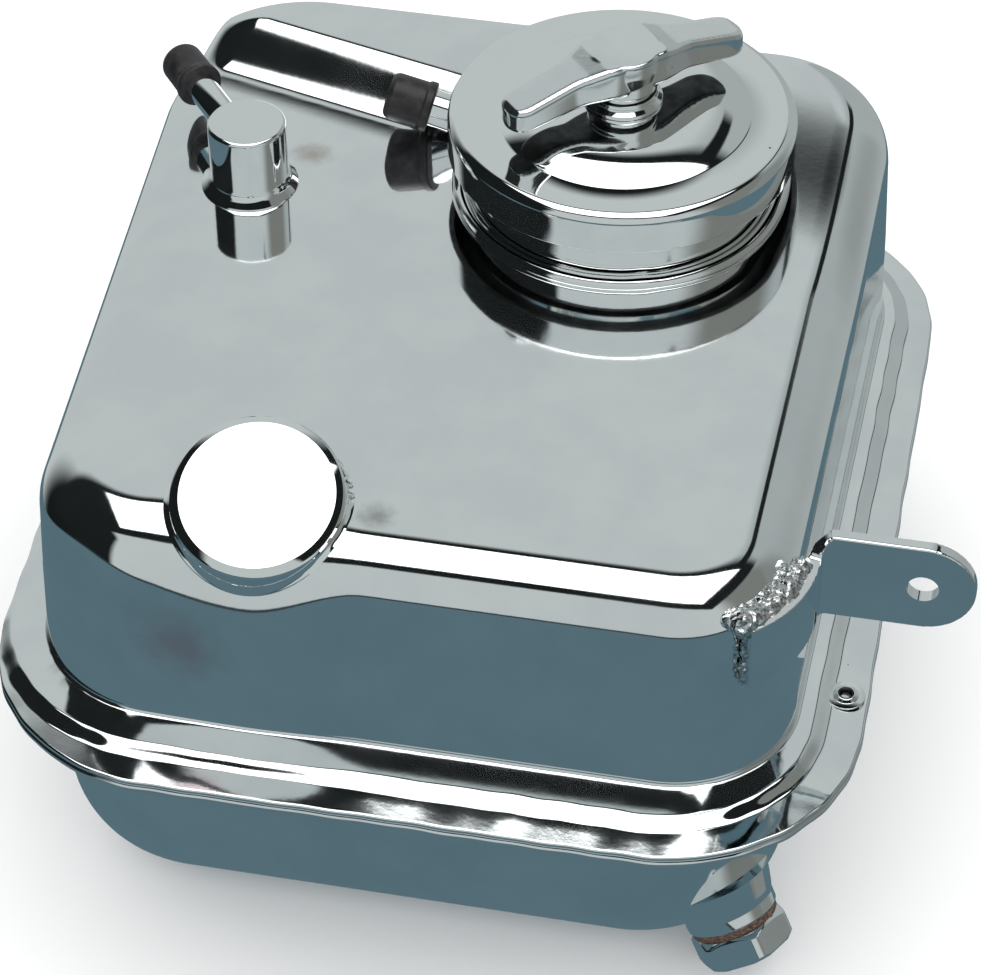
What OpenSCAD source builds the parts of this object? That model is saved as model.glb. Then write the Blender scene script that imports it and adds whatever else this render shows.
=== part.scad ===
// Fluid reservoir: a pressed, plated steel tank in two shells joined at a welded flange, with a
// quarter-turn filler cap, a vent, a side mounting bracket and a drain plug at its lowest corner.
// The tank is drawn about the filler axis with z = 0 on the flat of its top, and every node is
// then moved so that the origin is the centre of the bracket's hole.

/* [Tank shells] */
// Filler axis to the front wall, at the flange
front_reach = 130; // [118:1:145]
// Filler axis to the rear wall
rear_reach = 50; // [46:1:56]
// Filler axis to the right wall
right_reach = 55; // [50:1:60]
// How much further right the right wall is at the rear than at the front
right_flare = 3; // [0:0.5:5]
// Filler axis to the left wall, level with the filler
left_reach = 107.6; // [98:0.2:118]
// How much further left the left wall is for each millimetre to the rear
left_taper = 0.05; // [0:0.01:0.08]
// Height of the upper shell above the flange
upper_h = 47.7; // [44:0.1:56]
// Depth of the lower shell below the flange
lower_h = 58; // [50:1:70]
// Thickness of the pressed sheet
sheet_t = 1.2; // [0.8:0.1:1.6]
// Radius of the upper shell's top edge
top_edge_r = 12.5; // [8:0.5:14]
// Radius of the lower shell's bottom edge
bottom_edge_r = 19; // [14:1:22]
// Height of the raised rear part of the top
rear_step_h = 9.1; // [4:0.1:9.4]

/* [Welded flange] */
// Flange width along the front
flange_front = 17.2; // [12:0.1:20]
// Flange width along the right side
flange_right = 14.3; // [10:0.1:18]
// Flange width along the left side
flange_left = 8.4; // [7:0.1:14]
// Flange width along the rear
flange_rear = 6.5; // [6:0.1:12]
// How far the flange's rim lies below its inner land
flange_step = 1.6; // [0.5:0.1:2]
// Width of the inner land along the front, to the middle of the step
land_front = 12.8; // [9:0.1:13]
// Width of the inner land along the right side
land_right = 4.5; // [3:0.1:6]
// Gap between the two sheets, which the seam weld fills
seam_gap = 0.5; // [0.3:0.1:0.8]

/* [Filler and cap] */
// Outer diameter of the filler cap
cap_d = 75; // [74:0.5:78]
// Height of the cap's lower edge above the top
cap_z = 10.6; // [10.6:0.1:13]
// Height of the cap's skirt
cap_h = 9.4; // [9:0.1:12]
// Height of the cap's domed middle
dome_h = 2.9; // [1.5:0.1:4]
// Outer diameter of the filler neck
neck_d = 67; // [64:0.5:68]
// Half length of the wing handle
wing_reach = 29; // [24:0.5:34]
// Direction in which the wing handle points
wing_turn = 42; // [0:1:90]
// Length of the cap's locking bar
lock_bar_l = 59; // [56:0.5:60]

/* [Vent] */
// Outer diameter of the vent turret
vent_d = 17; // [14:0.5:20]
// Height of the vent turret
vent_h = 16.3; // [14:0.1:22]
// Outer diameter of the vent's side tube
vent_tube_d = 6.7; // [5:0.1:8]
// Outer diameter of the neck's overflow tube
overflow_d = 8.4; // [7:0.1:8.8]

/* [Front boss] */
// Outer diameter of the blanking cup at the front corner
boss_d = 36.8; // [30:0.2:40]
// Tilt of the cup towards the front
boss_tilt = 24; // [15:1:30]

/* [Bracket] */
// Thickness of the bracket
bracket_t = 2.8; // [2:0.1:3.5]
// Height of the bracket's tab
tab_h = 21; // [18:0.5:24]
// Diameter of the bracket's hole
bracket_hole_d = 6.4; // [5.5:0.1:8.5]

/* [Drain and outlet] */
// Diameter of the drain boss
drain_boss_d = 20; // [18:0.5:24]
// Hexagon of the drain plug, across its flats
drain_hex = 19; // [17:1:22]
// Diameter of the drain plug's thread
drain_thread_d = 12; // [10:1:14]
// Outer diameter of the feed outlet
outlet_d = 9.5; // [8:0.5:12]

/* [Hidden] */
$fn = 96;

arc_steps = 9;
side_steps = 9;
ring_points = 4 * (arc_steps + side_steps);
land_z = -upper_h;
floor_z = land_z - lower_h;
wall_draft = 1.4;
lower_draft = 5;
lower_grow = 3.5;
wall_fillet = 4;
edge_z = -top_edge_r;
left_side_a = left_reach - left_taper * front_reach;
left_side_b = left_reach + left_taper * rear_reach;
step_w = 4.3;
wall_v = [[-left_side_a, -front_reach], [right_reach, -front_reach],
          [right_reach + right_flare, rear_reach], [-left_side_b, rear_reach]];
lower_v = wall_v + [[-lower_grow, -lower_grow], [lower_grow, -lower_grow], [0, 0], [-lower_grow, 0]];
wall_r = [28, 26, 30, 34];
lower_r = [36, 36, 36, 38];
flange_v = wall_v + [[-flange_left, -flange_front], [flange_right, -flange_front],
                     [flange_right - right_flare, flange_rear], [-flange_left, flange_rear]];
flange_r = [40, 41, 37, 41];
land_v = wall_v + [[-0.5, -land_front], [land_right, -land_front], [land_right, 0.5], [-0.5, 0.5]];
land_r = [38, 34, 32, 34];
neck_hole_r = neck_d / 2 + 0.3;

crease_at = [-75, 2.3];
crease_n = [sin(14.8), cos(14.8)];
step_run = 27;
step_run_right = 72;

cap_top = cap_z + cap_h;
dome_top = cap_top + dome_h;
hub_z = 31.5;
hub_top = 36.4;
hub_r = 7.3;
tip_z = 27.6;
wing_r = 4.6;
column_r = 6.6;
column_z = 28.5;
pin_z = 31.2;
pin_d = 3;
lug_z = 12.7;
lug_t = 2;
bar_t = 3;
bar_z = lug_z - 0.5 - bar_t;
spindle_end_z = bar_z - 5;
spindle_top_z = 33.9;
gasket_t = 2;
gasket_r = 34.1;
spindle_d = 8;
spindle_hole_d = 8.2;

vent_at = [-79.1, -15.2];
vent_yaw = 129;
vent_tube_z = 9.4;
vent_tube_end = 34;
overflow_at = [-30, 7.8, 4.6];
overflow_tilt = 14;
overflow_l = 22;
boss_at = [-52.6, -115.2, 3.6];
boss_yaw = 5;
boss_depth = 12;
bulge_left = 40;
bulge_right = 24;
bulge_out = 4.5;
bulge_down = 5.5;
bulge_back = 2.5;

corner_c = [right_reach - wall_r[1], -front_reach + wall_r[1]];
leg_r = wall_r[1] + 0.15;
bend_r = 2.8;
tab_y = corner_c.y + bend_r;
tab_start = corner_c.x + leg_r + bracket_t / 2 + bend_r;
bracket_hole = [78, tab_y, -10];

drain_dir = [0.466, -0.336, -0.818];
drain_at = [46.1, -117.4, -97.7];
washer_t = 1.6;
plug_head_h = 6.9;
plug_thread_l = 9;
thread_gap = 0.05;
outlet_at = [-40, 46, -82];
outlet_l = 27;
outlet_collar = 10.3;

rivet_at = [64.5, -96.5];
rivet_r = 1.4;
rivet_t = 0.4;
rivet_z = 0.65;
drip_at = [-107, -98];
drip_d = 2.5;
baffle_x = -52;

lip_drop = sheet_t + seam_gap;
under_drop = lip_drop + sheet_t;
lip_z = land_z - 8;
lip_inset = 1.5;
lower_lean = (lower_h - bottom_edge_r - 8) * tan(lower_draft);
round_z = floor_z + bottom_edge_r;
round_share = 0.93;
floor_turns = [22, 42, 60, 76, 90];
floor_inset = lip_inset + lower_lean + round_share * bottom_edge_r;

// ---- Outlines and surfaces ------------------------------------------------------------------

function mix(a, b, t) = a + (b - a) * t;
function clamp01(t) = min(1, max(0, t));
function smooth(t) = let (s = clamp01(t)) s * s * (3 - 2 * s);
function middle(points) = [for (k = [0:2]) [for (p = points) p[k]] * [for (p = points) 1 / len(points)]];
function edge_normal(a, b) = let (t = (b - a) / norm(b - a)) [t.y, -t.x];
function corner_centre(v, r, na, nb) = v - r * (na + nb) / (1 + na * nb);

// A quadrilateral with four rounded corners, moved inwards by inset
function outline(v, r, inset) = [
    for (i = [0:3])
        let (j = (i + 1) % 4, na = edge_normal(v[(i + 3) % 4], v[i]), nb = edge_normal(v[i], v[j]),
             nc = edge_normal(v[j], v[(j + 1) % 4]), c = corner_centre(v[i], r[i], na, nb),
             cj = corner_centre(v[j], r[j], nb, nc), start = atan2(na.y, na.x),
             turn = (atan2(nb.y, nb.x) - start + 360) % 360)
            each concat(
                [for (k = [0:arc_steps]) let (a = start + turn * k / arc_steps)
                    c + (r[i] - inset) * [cos(a), sin(a)]],
                [for (k = [1:side_steps - 1])
                    mix(c + (r[i] - inset) * nb, cj + (r[j] - inset) * nb, k / side_steps)])];

// Height of the raised rear part over a point of the top
function step_shape(q) = q < 0.44 ? 0.14 * pow(max(q, 0) / 0.44, 2)
                                  : 0.14 + 0.86 * smooth((q - 0.44) / 0.56);
function raise(p) =
    let (right = smooth((p.x + 30) / 60), along = ([p.x, p.y] - crease_at) * crease_n,
         q = along / mix(step_run, step_run_right, right))
        rear_step_h * mix(step_shape(q), smooth(q), right) * smooth((p.x + left_reach + 1) / 13);

// Height of the flange at a distance d from the wall, where its land ends at a distance s
function fillet_z(d) = wall_fillet * (1 - sqrt(1 - pow(clamp01(1 - d / wall_fillet), 2)));
function step_z(d, s) = -flange_step * smooth((d - s) / step_w + 0.5);

// Share of the bulge that the front's edge has around the blanking cup: a long flank on the left, a
// short one on the right. There the edge is fuller, and the wall below it stands forward.
function bulge(p) =
    smooth(1 - abs(p.x - boss_at.x) / (p.x < boss_at.x ? bulge_left : bulge_right))
    * smooth((-100 - p.y) / 18);

wall_line = outline(wall_v, wall_r, 0);
flange_line = outline(flange_v, flange_r, 0);
lower_line = outline(lower_v, lower_r, 0);
land_line = outline(land_v, land_r, 0);
land_s = [for (i = [0:ring_points - 1]) norm(land_line[i] - wall_line[i])];

// A ring of the flange. The upper sheet's are at the wall (0), the end of its fillet (1) and the
// edge (2); the lower sheet's run from its own wall (0) to the edge (1) and have no fillet.
function flange_ring(t, drop) =
    [for (i = [0:ring_points - 1])
        let (w = wall_line[i], e = flange_line[i], l = norm(e - w),
             d = t < 1 ? wall_fillet * t : mix(wall_fillet, l, t - 1), p = mix(w, e, d / l))
            [p.x, p.y, land_z + fillet_z(d) + step_z(d, land_s[i]) - drop]];
function under_ring(t, drop) =
    [for (i = [0:ring_points - 1])
        let (p = mix(lower_line[i], flange_line[i], t))
            [p.x, p.y, land_z + step_z(norm(p - wall_line[i]), land_s[i]) - drop]];
function foot_ring(inset, height) =
    let (line = outline(wall_v, wall_r, inset))
        [for (i = [0:ring_points - 1])
            [line[i].x, line[i].y, land_z + height + step_z(0, land_s[i])]];
function wall_ring(inset, z, share) =
    [for (p = outline(wall_v, wall_r, inset))
        [p.x, p.y - bulge(p) * bulge_out * clamp01((z - land_z - 3) / 27), z + raise(p) * share]];
function edge_ring(a, t) =
    let (r = top_edge_r - t)
        [for (p = outline(wall_v, wall_r, wall_draft + t + r * (1 - cos(a))))
            [p.x, p.y - bulge(p) * mix(-bulge_back, bulge_out, cos(a)),
             edge_z + r * sin(a) + raise(p) - bulge(p) * bulge_down * (1 - sin(a))]];
function top_ring(s, drop) =
    let (rim = outline(wall_v, wall_r, wall_draft + top_edge_r))
        [for (p = rim)
            let (q = mix([p.x, p.y + bulge(p) * bulge_back], neck_hole_r * p / norm(p), s))
                [q.x, q.y, raise(q) - drop]];
function lower_ring(inset, z) = [for (p = outline(lower_v, lower_r, inset)) [p.x, p.y, z]];
function bowl_ring(a, t) =
    lower_ring(lip_inset + lower_lean + t + round_share * (bottom_edge_r - t) * (1 - cos(a)),
               round_z - (bottom_edge_r - t) * sin(a));
function floor_ring(s, inset, z) =
    [for (p = outline(lower_v, lower_r, inset)) let (q = mix(p, [-26, -41], s)) [q.x, q.y, z]];

// Joins a list of rings into a closed skin: a tube bent back on itself, or one closed at each end
// by a fan about the middle of its end ring
module skin(rings, closed) {
    n = len(rings[0]);
    m = len(rings);
    last = closed ? m - 1 : m - 2;
    sides = [for (j = [0:last], i = [0:n - 1])
        let (a = j * n + i, b = j * n + (i + 1) % n, k = (j + 1) % m, c = k * n + (i + 1) % n, d = k * n + i)
            each [[a, c, b], [a, d, c]]];
    fans = closed ? [] : [for (i = [0:n - 1])
        let (k = (i + 1) % n) each [[m * n, i, k], [m * n + 1, (m - 1) * n + k, (m - 1) * n + i]]];
    middles = closed ? [] : [middle(rings[0]), middle(rings[m - 1])];
    polyhedron(points = concat([for (r = rings) each r], middles), faces = concat(sides, fans),
               convexity = 8);
}

// ---- Placing --------------------------------------------------------------------------------

module in_frame() translate(-bracket_hole) children();
module along(dir) rotate([0, acos(dir.z / norm(dir)), atan2(dir.y, dir.x)]) children();
module at_vent_tube(x) translate([vent_at.x, vent_at.y, vent_tube_z]) rotate([0, 0, vent_yaw])
    translate([x, 0, 0]) rotate([0, 90, 0]) children();
module at_overflow(x) translate(overflow_at) rotate([0, 90 - overflow_tilt, 180])
    translate([0, 0, x]) mirror([1, 0, 0]) children();
module at_boss() translate(boss_at) rotate([0, 0, boss_yaw]) rotate([boss_tilt, 0, 0]) children();
module at_drain(x) translate(drain_at) along(drain_dir) translate([0, 0, x]) children();
module at_outlet(y) translate(outlet_at + [0, y, 0]) rotate([-90, 0, 0]) children();
module tube(d_out, d_in, l) difference() {
    cylinder(d = d_out, h = l);
    translate([0, 0, -1]) cylinder(d = d_in, h = l + 2);
}
module blind_cap(d_out, d_in, l, end) rotate_extrude()
    polygon([[d_in / 2, 0], [d_out / 2 - 0.6, 0], [d_out / 2, 0.6], [d_out / 2, l - 1.4],
             [d_out / 2 - 1.4, l], [0, l], [0, l - end], [d_in / 2, l - end]]);

// ---- Tank -----------------------------------------------------------------------------------

edge_turns = [15, 32, 48, 62, 76, 90];
top_shares = [0.09, 0.2, 0.31, 0.42, 0.53, 0.63, 0.73, 0.82, 0.9, 0.96, 1];
mid_z = -28;
mid_inset = 0.6;
seam_shares = [1.6, 1.76, 1.85, 1.97];

module upper_shell() color("silver") in_frame() difference() {
    skin(concat(
        [for (t = [2, 1.85, 1.76, 1.68, 1.6, 1.5, 1.3, 1.15, 1, 0.6, 0.3, 0.12]) flange_ring(t, 0)],
        [foot_ring(0, wall_fillet), wall_ring(mid_inset, mid_z, 0.5), edge_ring(0, 0)],
        [for (a = edge_turns) edge_ring(a, 0)],
        [for (s = top_shares) top_ring(s, 0)],
        [for (i = [10, 8, 6, 4, 2, 0]) top_ring(top_shares[i], sheet_t)],
        [for (i = [5, 3, 1]) edge_ring(edge_turns[i], sheet_t)],
        [edge_ring(0, sheet_t), wall_ring(mid_inset + sheet_t, mid_z, 0.5),
         foot_ring(sheet_t, 2.5), foot_ring(0.5, -0.2)],
        [for (t = [1, 1.3, 1.5, 1.6, 1.76, 1.85, 2]) flange_ring(t, sheet_t)]), true);
    at_boss() translate([0, 0, -40]) cylinder(d = boss_d - 5, h = 60);
    translate([vent_at.x, vent_at.y, -6]) cylinder(d = vent_d - 6, h = 12);
    flange_holes();
}

// The eyelet's hole on the right of the flange, and the small open one on its left
module flange_holes() {
    translate([rivet_at.x, rivet_at.y, land_z - 10]) cylinder(r = rivet_r + 0.02, h = 20);
    translate([drip_at.x, drip_at.y, land_z - 10]) cylinder(d = drip_d, h = 20);
}

module lower_shell() color("lightsteelblue") in_frame() difference() {
    skin(concat(
        [floor_ring(0.7, floor_inset, floor_z), floor_ring(0.35, floor_inset, floor_z)],
        [for (i = [4, 3, 2, 1, 0]) bowl_ring(floor_turns[i], 0)],
        [lower_ring(lip_inset + lower_lean, round_z), lower_ring(lip_inset, lip_z),
         lower_ring(0.6, land_z - under_drop - 2)],
        [for (t = [0.1, 0.3, 0.5, 0.6, 0.7, 0.82, 1]) under_ring(t, under_drop)],
        [for (t = [1, 0.82, 0.7, 0.6, 0.5, 0.3, 0.1]) under_ring(t, lip_drop)],
        [lower_ring(sheet_t + 0.5, land_z - lip_drop - 1.5), lower_ring(lip_inset + sheet_t, lip_z),
         lower_ring(lip_inset + lower_lean + sheet_t, round_z)],
        [for (a = floor_turns) bowl_ring(a, sheet_t)],
        [floor_ring(0.35, floor_inset, floor_z + sheet_t),
         floor_ring(0.7, floor_inset, floor_z + sheet_t)]), false);
    at_drain(-30) cylinder(d = drain_boss_d - 3, h = 45);
    at_outlet(-20) cylinder(d = outlet_d + 0.2, h = 40);
    flange_holes();
}

// The weld that fills the gap between the two sheets out to the flange's edge
module seam_weld() color("darkgray") in_frame() difference() {
    skin(concat([for (t = seam_shares) flange_ring(t, sheet_t + 0.02)],
                [for (k = [1:len(seam_shares)])
                    flange_ring(seam_shares[len(seam_shares) - k], lip_drop - 0.02)]), true);
    flange_holes();
}

// An eyelet that closes the plating hole in the right side of the flange
module flange_rivet() color("silver") in_frame()
    translate([rivet_at.x, rivet_at.y, land_z - flange_step]) rotate_extrude()
        polygon([[rivet_r - rivet_t, -under_drop - 0.5], [rivet_r, -under_drop - 0.5],
                 [rivet_r, rivet_z], [rivet_r + 2 * rivet_t, rivet_z],
                 [rivet_r + 2 * rivet_t, rivet_z + rivet_t],
                 [rivet_r + rivet_t, rivet_z + 2 * rivet_t], [rivet_r, rivet_z + 2 * rivet_t],
                 [rivet_r - rivet_t, rivet_z + rivet_t]]);

// A surge plate across the lower shell, held at its two upper ears
baffle_y = [-118, 34];
ear_y = [-130.6, 47.2];
baffle_z = [floor_z + 8, land_z - 16];
ear_z = [land_z - 14, land_z - 6];
surge_hole_d = 16;
surge_holes = [-84, -42, 0];
module baffle_plate() color("gray") in_frame() translate([baffle_x, 0, 0]) difference() {
    rotate([90, 0, 90]) linear_extrude(sheet_t)
        polygon([[baffle_y[0], baffle_z[0]], [baffle_y[1], baffle_z[0]], [baffle_y[1], baffle_z[1]],
                 [ear_y[1], ear_z[0]], [ear_y[1], ear_z[1]], [ear_y[0], ear_z[1]],
                 [ear_y[0], ear_z[0]], [baffle_y[0], baffle_z[1]]]);
    for (y = surge_holes)
        translate([-1, y, baffle_z[0] + 18]) rotate([0, 90, 0]) cylinder(d = surge_hole_d, h = 4);
}

// ---- Filler neck ----------------------------------------------------------------------------

neck_r = neck_d / 2;
neck_in = neck_r - 1.5;
neck_top = 16.3;

module filler_neck() color("silver") in_frame() rotate_extrude()
    polygon([[neck_in, -9], [neck_r, -9], [neck_r, 10], [neck_r + 1, 11.5], [neck_r + 1.6, 13.5],
             [neck_r + 1.4, 15.4], [neck_r, neck_top], [neck_r - 1.2, neck_top],
             [neck_in - 0.4, 15.4], [neck_in, 14]]);

// The bead round the foot of the neck follows the raised part of the top
module neck_weld() color("gainsboro") in_frame()
    skin([for (a = [0:45:315])
        [for (k = [0:63]) let (d = [cos(k * 5.625), sin(k * 5.625)], p = (neck_r + 1.6) * d)
            [p.x + 1.5 * cos(a) * d.x, p.y + 1.5 * cos(a) * d.y,
             min(raise(p), 7.4) + 0.6 - 1.5 * sin(a)]]], true);

// Two lugs inside the neck; the locking bar turns under them
module lock_lugs() color("gray") in_frame() rotate([0, 0, wing_turn + 90]) intersection() {
    translate([0, 0, lug_z]) tube(2 * neck_in - 0.02, 2 * neck_in - 11, lug_t);
    for (side = [0, 180]) rotate([0, 0, side]) translate([0, 0, lug_z - 1])
        linear_extrude(lug_t + 2) polygon([[0, 0], [40, -20], [40, 20]]);
}

// ---- Filler cap -----------------------------------------------------------------------------

cap_r = cap_d / 2;
skin_t = 1.2;
rim_r = 2.6;
dome_foot = 27.8;
dome_flat = 15.5;

module cap_cover() color("silver") in_frame() rotate_extrude()
    polygon(concat(
        [[cap_r - skin_t, cap_z], [cap_r, cap_z], [cap_r, cap_top - rim_r]],
        [for (a = [15:15:90])
            [cap_r - rim_r + rim_r * cos(a), cap_top - rim_r + rim_r * sin(a)]],
        [[dome_foot, cap_top]],
        [for (t = [0.15:0.15:0.9])
            [mix(dome_foot, dome_flat, t), cap_top + dome_h * (1 - pow(1 - t, 2))]],
        [[dome_flat, dome_top], [spindle_hole_d / 2, dome_top], [spindle_hole_d / 2, dome_top - skin_t],
         [dome_flat, dome_top - skin_t], [dome_foot - 0.8, cap_top - skin_t],
         [cap_r - 3, cap_top - skin_t], [cap_r - skin_t, cap_top - 3]]));

module cap_gasket() color("dimgray") in_frame()
    translate([0, 0, neck_top + 0.1]) tube(2 * gasket_r, 2 * neck_in - 6, gasket_t);

// A dished plate under the gasket, with a ring that keeps it off the cap
plate_z = 15;
plate_r = 30;
ring_r = 28;
module gasket_retainer() color("gray") in_frame() rotate_extrude()
    polygon([[spindle_hole_d / 2, plate_z], [plate_r, plate_z], [plate_r, neck_top],
             [ring_r, neck_top], [ring_r, cap_top - skin_t - 0.1],
             [ring_r - skin_t, cap_top - skin_t - 0.1], [ring_r - skin_t, neck_top],
             [spindle_hole_d / 2, neck_top]]);

// The wing handle: an arched side view and a plan view, cut to each other, with the hub's slab
// Half of the handle's side view, from the middle of its underside round the tip to its top
wing_side = [[9, hub_z], [21, tip_z + 0.2], [wing_reach, tip_z], [wing_reach - 1, tip_z + 2.4],
             [24, tip_z + 3.8], [11, hub_top - 1.2], [7, hub_top]];

module cap_handle() color("gainsboro") in_frame() rotate([0, 0, wing_turn]) difference() {
    union() {
        intersection() {
            rotate([90, 0, 0]) translate([0, 0, -12]) linear_extrude(24)
                polygon(concat(wing_side, [for (k = [len(wing_side) - 1:-1:0])
                    [-wing_side[k].x, wing_side[k].y]]));
            translate([0, 0, 20]) linear_extrude(20) union() {
                circle(r = hub_r);
                square([2 * (wing_reach - wing_r), 2 * wing_r], center = true);
                for (x = [-1, 1]) translate([x * (wing_reach - wing_r), 0]) circle(r = wing_r);
            }
        }
        translate([0, 0, column_z]) cylinder(r = column_r, h = hub_z - column_z + 2);
    }
    translate([0, 0, 20]) cylinder(d = spindle_d + 0.04, h = spindle_top_z - 19.9);
    translate([-20, 0, pin_z]) rotate([0, 90, 0]) cylinder(d = pin_d + 0.04, h = 40);
}

module handle_pin() color("darkgray") in_frame() rotate([0, 0, wing_turn])
    translate([-column_r, 0, pin_z]) rotate([0, 90, 0]) cylinder(d = pin_d, h = 2 * column_r);

collar_r = 8.2;
collar_neck_r = 6.5;
collar_z = [dome_top + 0.1, 24.6, 25.4, 28.4];
collar_bore = spindle_d / 2 + 0.02;
module thrust_collar() color("gainsboro") in_frame() rotate_extrude()
    polygon([[collar_bore, collar_z[0]], [collar_r, collar_z[0]], [collar_r, collar_z[1]],
             [collar_neck_r, collar_z[2]], [collar_neck_r, collar_z[3]],
             [collar_bore, collar_z[3]]]);

module cap_spindle() color("darkgray") in_frame() rotate([0, 0, wing_turn]) difference() {
    translate([0, 0, spindle_end_z]) cylinder(d = spindle_d, h = spindle_top_z - spindle_end_z);
    translate([-20, 0, pin_z]) rotate([0, 90, 0]) cylinder(d = pin_d + 0.04, h = 40);
}

module lock_bar() color("gray") in_frame() rotate([0, 0, wing_turn]) difference() {
    translate([0, 0, bar_z]) intersection() {
        cylinder(d = lock_bar_l, h = bar_t);
        translate([-40, -7, 0]) cube([80, 14, bar_t]);
    }
    translate([0, 0, bar_z - 1]) cylinder(d = spindle_d + 0.04, h = bar_t + 2);
}

module spindle_nut() color("darkgray") in_frame() translate([0, 0, bar_z - 4.6]) difference() {
    cylinder(d = 14.4, h = 4.5, $fn = 6);
    translate([0, 0, -1]) cylinder(d = spindle_d + 0.04, h = 8);
}

// ---- Vent, overflow and their rubber caps ---------------------------------------------------

module vent_turret() color("silver") in_frame() translate([vent_at.x, vent_at.y, 0]) difference() {
    rotate_extrude() polygon([[0, 0.02], [vent_d / 2, 0.02], [vent_d / 2, vent_h - 0.9],
                              [vent_d / 2 - 0.9, vent_h], [0, vent_h]]);
    translate([0, 0, -2]) cylinder(d = vent_d - 6.4, h = vent_h - 1);
    rotate([0, 0, vent_yaw]) translate([0, 0, vent_tube_z]) rotate([0, 90, 0])
        cylinder(d = vent_tube_d + 0.04, h = vent_d);
}

module vent_weld() color("gainsboro") in_frame() translate([vent_at.x, vent_at.y, 0])
    rotate_extrude() polygon([[vent_d / 2 - 0.1, 0], [vent_d / 2 + 1.8, 0], [vent_d / 2 + 1.6, 0.7],
                              [vent_d / 2 + 0.7, 1.4], [vent_d / 2 - 0.1, 2.4]]);

module vent_tube() color("silver") in_frame()
    at_vent_tube(vent_d / 2 - 2.8) tube(vent_tube_d, vent_tube_d - 2, vent_tube_end - vent_d / 2 + 2.8);

module vent_rubber_cap() color([0.13, 0.12, 0.13]) in_frame()
    at_vent_tube(24.6) blind_cap(vent_tube_d + 3, vent_tube_d + 0.02, 11.4, 1.9);

module overflow_tube() color("silver") in_frame() difference() {
    at_overflow(0) tube(overflow_d, overflow_d - 2, overflow_l);
    translate([0, 0, -20]) cylinder(r = neck_r - 0.1, h = 60);
}

module overflow_rubber_cap() color([0.13, 0.12, 0.13]) in_frame()
    at_overflow(13.8) blind_cap(overflow_d + 2.4, overflow_d + 0.02, 10.2, 1.9);

// A drop pipe under the vent, so that returned fluid runs down inside
module return_pipe() color("darkgray") in_frame() translate([vent_at.x, vent_at.y, -38]) difference() {
    union() {
        cylinder(d = vent_d - 6.5, h = 38);
        translate([0, 0, 34]) cylinder(d = vent_d + 2, h = 2.7);
    }
    translate([0, 0, -1]) cylinder(d = vent_d - 8.5, h = 42);
}

// ---- Blanking cup at the front corner -------------------------------------------------------

cup_r = boss_d / 2;
cup_face_r = cup_r - 2.5;
cup_t = 1.2;
module front_boss() color("white") in_frame() at_boss() rotate_extrude()
    polygon([[0, 0], [cup_face_r, 0], [cup_r - 0.5, -0.55], [cup_r - 0.14, -0.95], [cup_r, -1.5],
             [cup_r, -boss_depth], [cup_r - cup_t, -boss_depth], [cup_r - cup_t, -1.8],
             [cup_face_r, -cup_t], [0, -cup_t]]);

// The bead where the cup meets the shell runs deeper towards the rear
module boss_weld() color("gainsboro") in_frame() at_boss()
    skin([for (a = [0:45:315])
        [for (k = [0:47]) let (d = [cos(k * 7.5), sin(k * 7.5)], r = cup_r + 0.9 + 1.2 * cos(a))
            [r * d.x, r * d.y, -9 - 3.8 * d.y - 1.2 * sin(a)]]], true);

// ---- Mounting bracket -----------------------------------------------------------------------

module mounting_bracket() color("silver") in_frame() difference() {
    union() {
        translate([corner_c.x, corner_c.y, bracket_hole.z - tab_h / 2]) {
            rotate([0, 0, -50]) rotate_extrude(angle = 50)
                translate([leg_r, 0]) square([bracket_t, tab_h - 5]);
            translate([leg_r + bracket_t / 2 + bend_r, 0, 0]) rotate([0, 0, 90])
                rotate_extrude(angle = 90)
                    translate([bend_r - bracket_t / 2, 0]) square([bracket_t, tab_h - 2]);
        }
        translate([tab_start, tab_y + bracket_t / 2, bracket_hole.z]) rotate([90, 0, 0])
            linear_extrude(bracket_t) union() {
                translate([0, -tab_h / 2]) square([bracket_hole.x - tab_start, tab_h]);
                translate([bracket_hole.x - tab_start, 0]) circle(d = tab_h);
            }
    }
    translate(bracket_hole) rotate([90, 0, 0])
        cylinder(d = bracket_hole_d, h = 20, center = true);
}

// The weld bead along the top of the bracket's leg, and the shorter one down its front edge
bead_z = bracket_hole.z + tab_h / 2 - 5.6;
bead_r = 3;
edge_bead_r = 1.9;
edge_bead_l = 12;
module bracket_weld() color("gainsboro") in_frame() translate([corner_c.x, corner_c.y, 0]) {
    skin([for (k = [0:23])
        let (a = -50 + 2 * k, w = k % 23 == 0 ? bead_r / 2 : bead_r + 0.3 * sin(137 * k))
            [for (turn = [0:30:330])
                let (r = leg_r - 0.8 + w * cos(turn))
                    [r * cos(a), r * sin(a), bead_z - w * sin(turn)]]], false);
    skin([for (k = [0:9]) let (a = -50.5, r = leg_r + 0.8, w = edge_bead_r + 0.3 * sin(99 * k))
        [for (turn = [0:30:330])
            [r * cos(a) + w * cos(turn), r * sin(a) + w * sin(turn),
             bead_z - edge_bead_l * (1 - k / 9)]]], false);
}

// ---- Drain and outlet -----------------------------------------------------------------------

module drain_boss() color("silver") in_frame() difference() {
    at_drain(-9) cylinder(d = drain_boss_d, h = 9);
    at_drain(-12) cylinder(d = drain_thread_d, h = 24);
}

module drain_washer() color("sienna") in_frame()
    at_drain(0.02) tube(drain_boss_d + 0.6, drain_thread_d + 0.6, washer_t - 0.04);

module drain_plug() color("silver") in_frame() {
    at_drain(washer_t) difference() {
        intersection() {
            cylinder(d = drain_hex / cos(30), h = plug_head_h, $fn = 6);
            rotate_extrude() polygon([[0, 0], [30, 0], [30, 1], [drain_hex / 2 + 0.4, plug_head_h],
                                      [0, plug_head_h]]);
        }
        translate([0, 0, plug_head_h - 1]) cylinder(d = 10, h = 2);
    }
    at_drain(washer_t - plug_thread_l)
        cylinder(d = drain_thread_d - 2 * thread_gap, h = plug_thread_l + 0.1);
}

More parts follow.
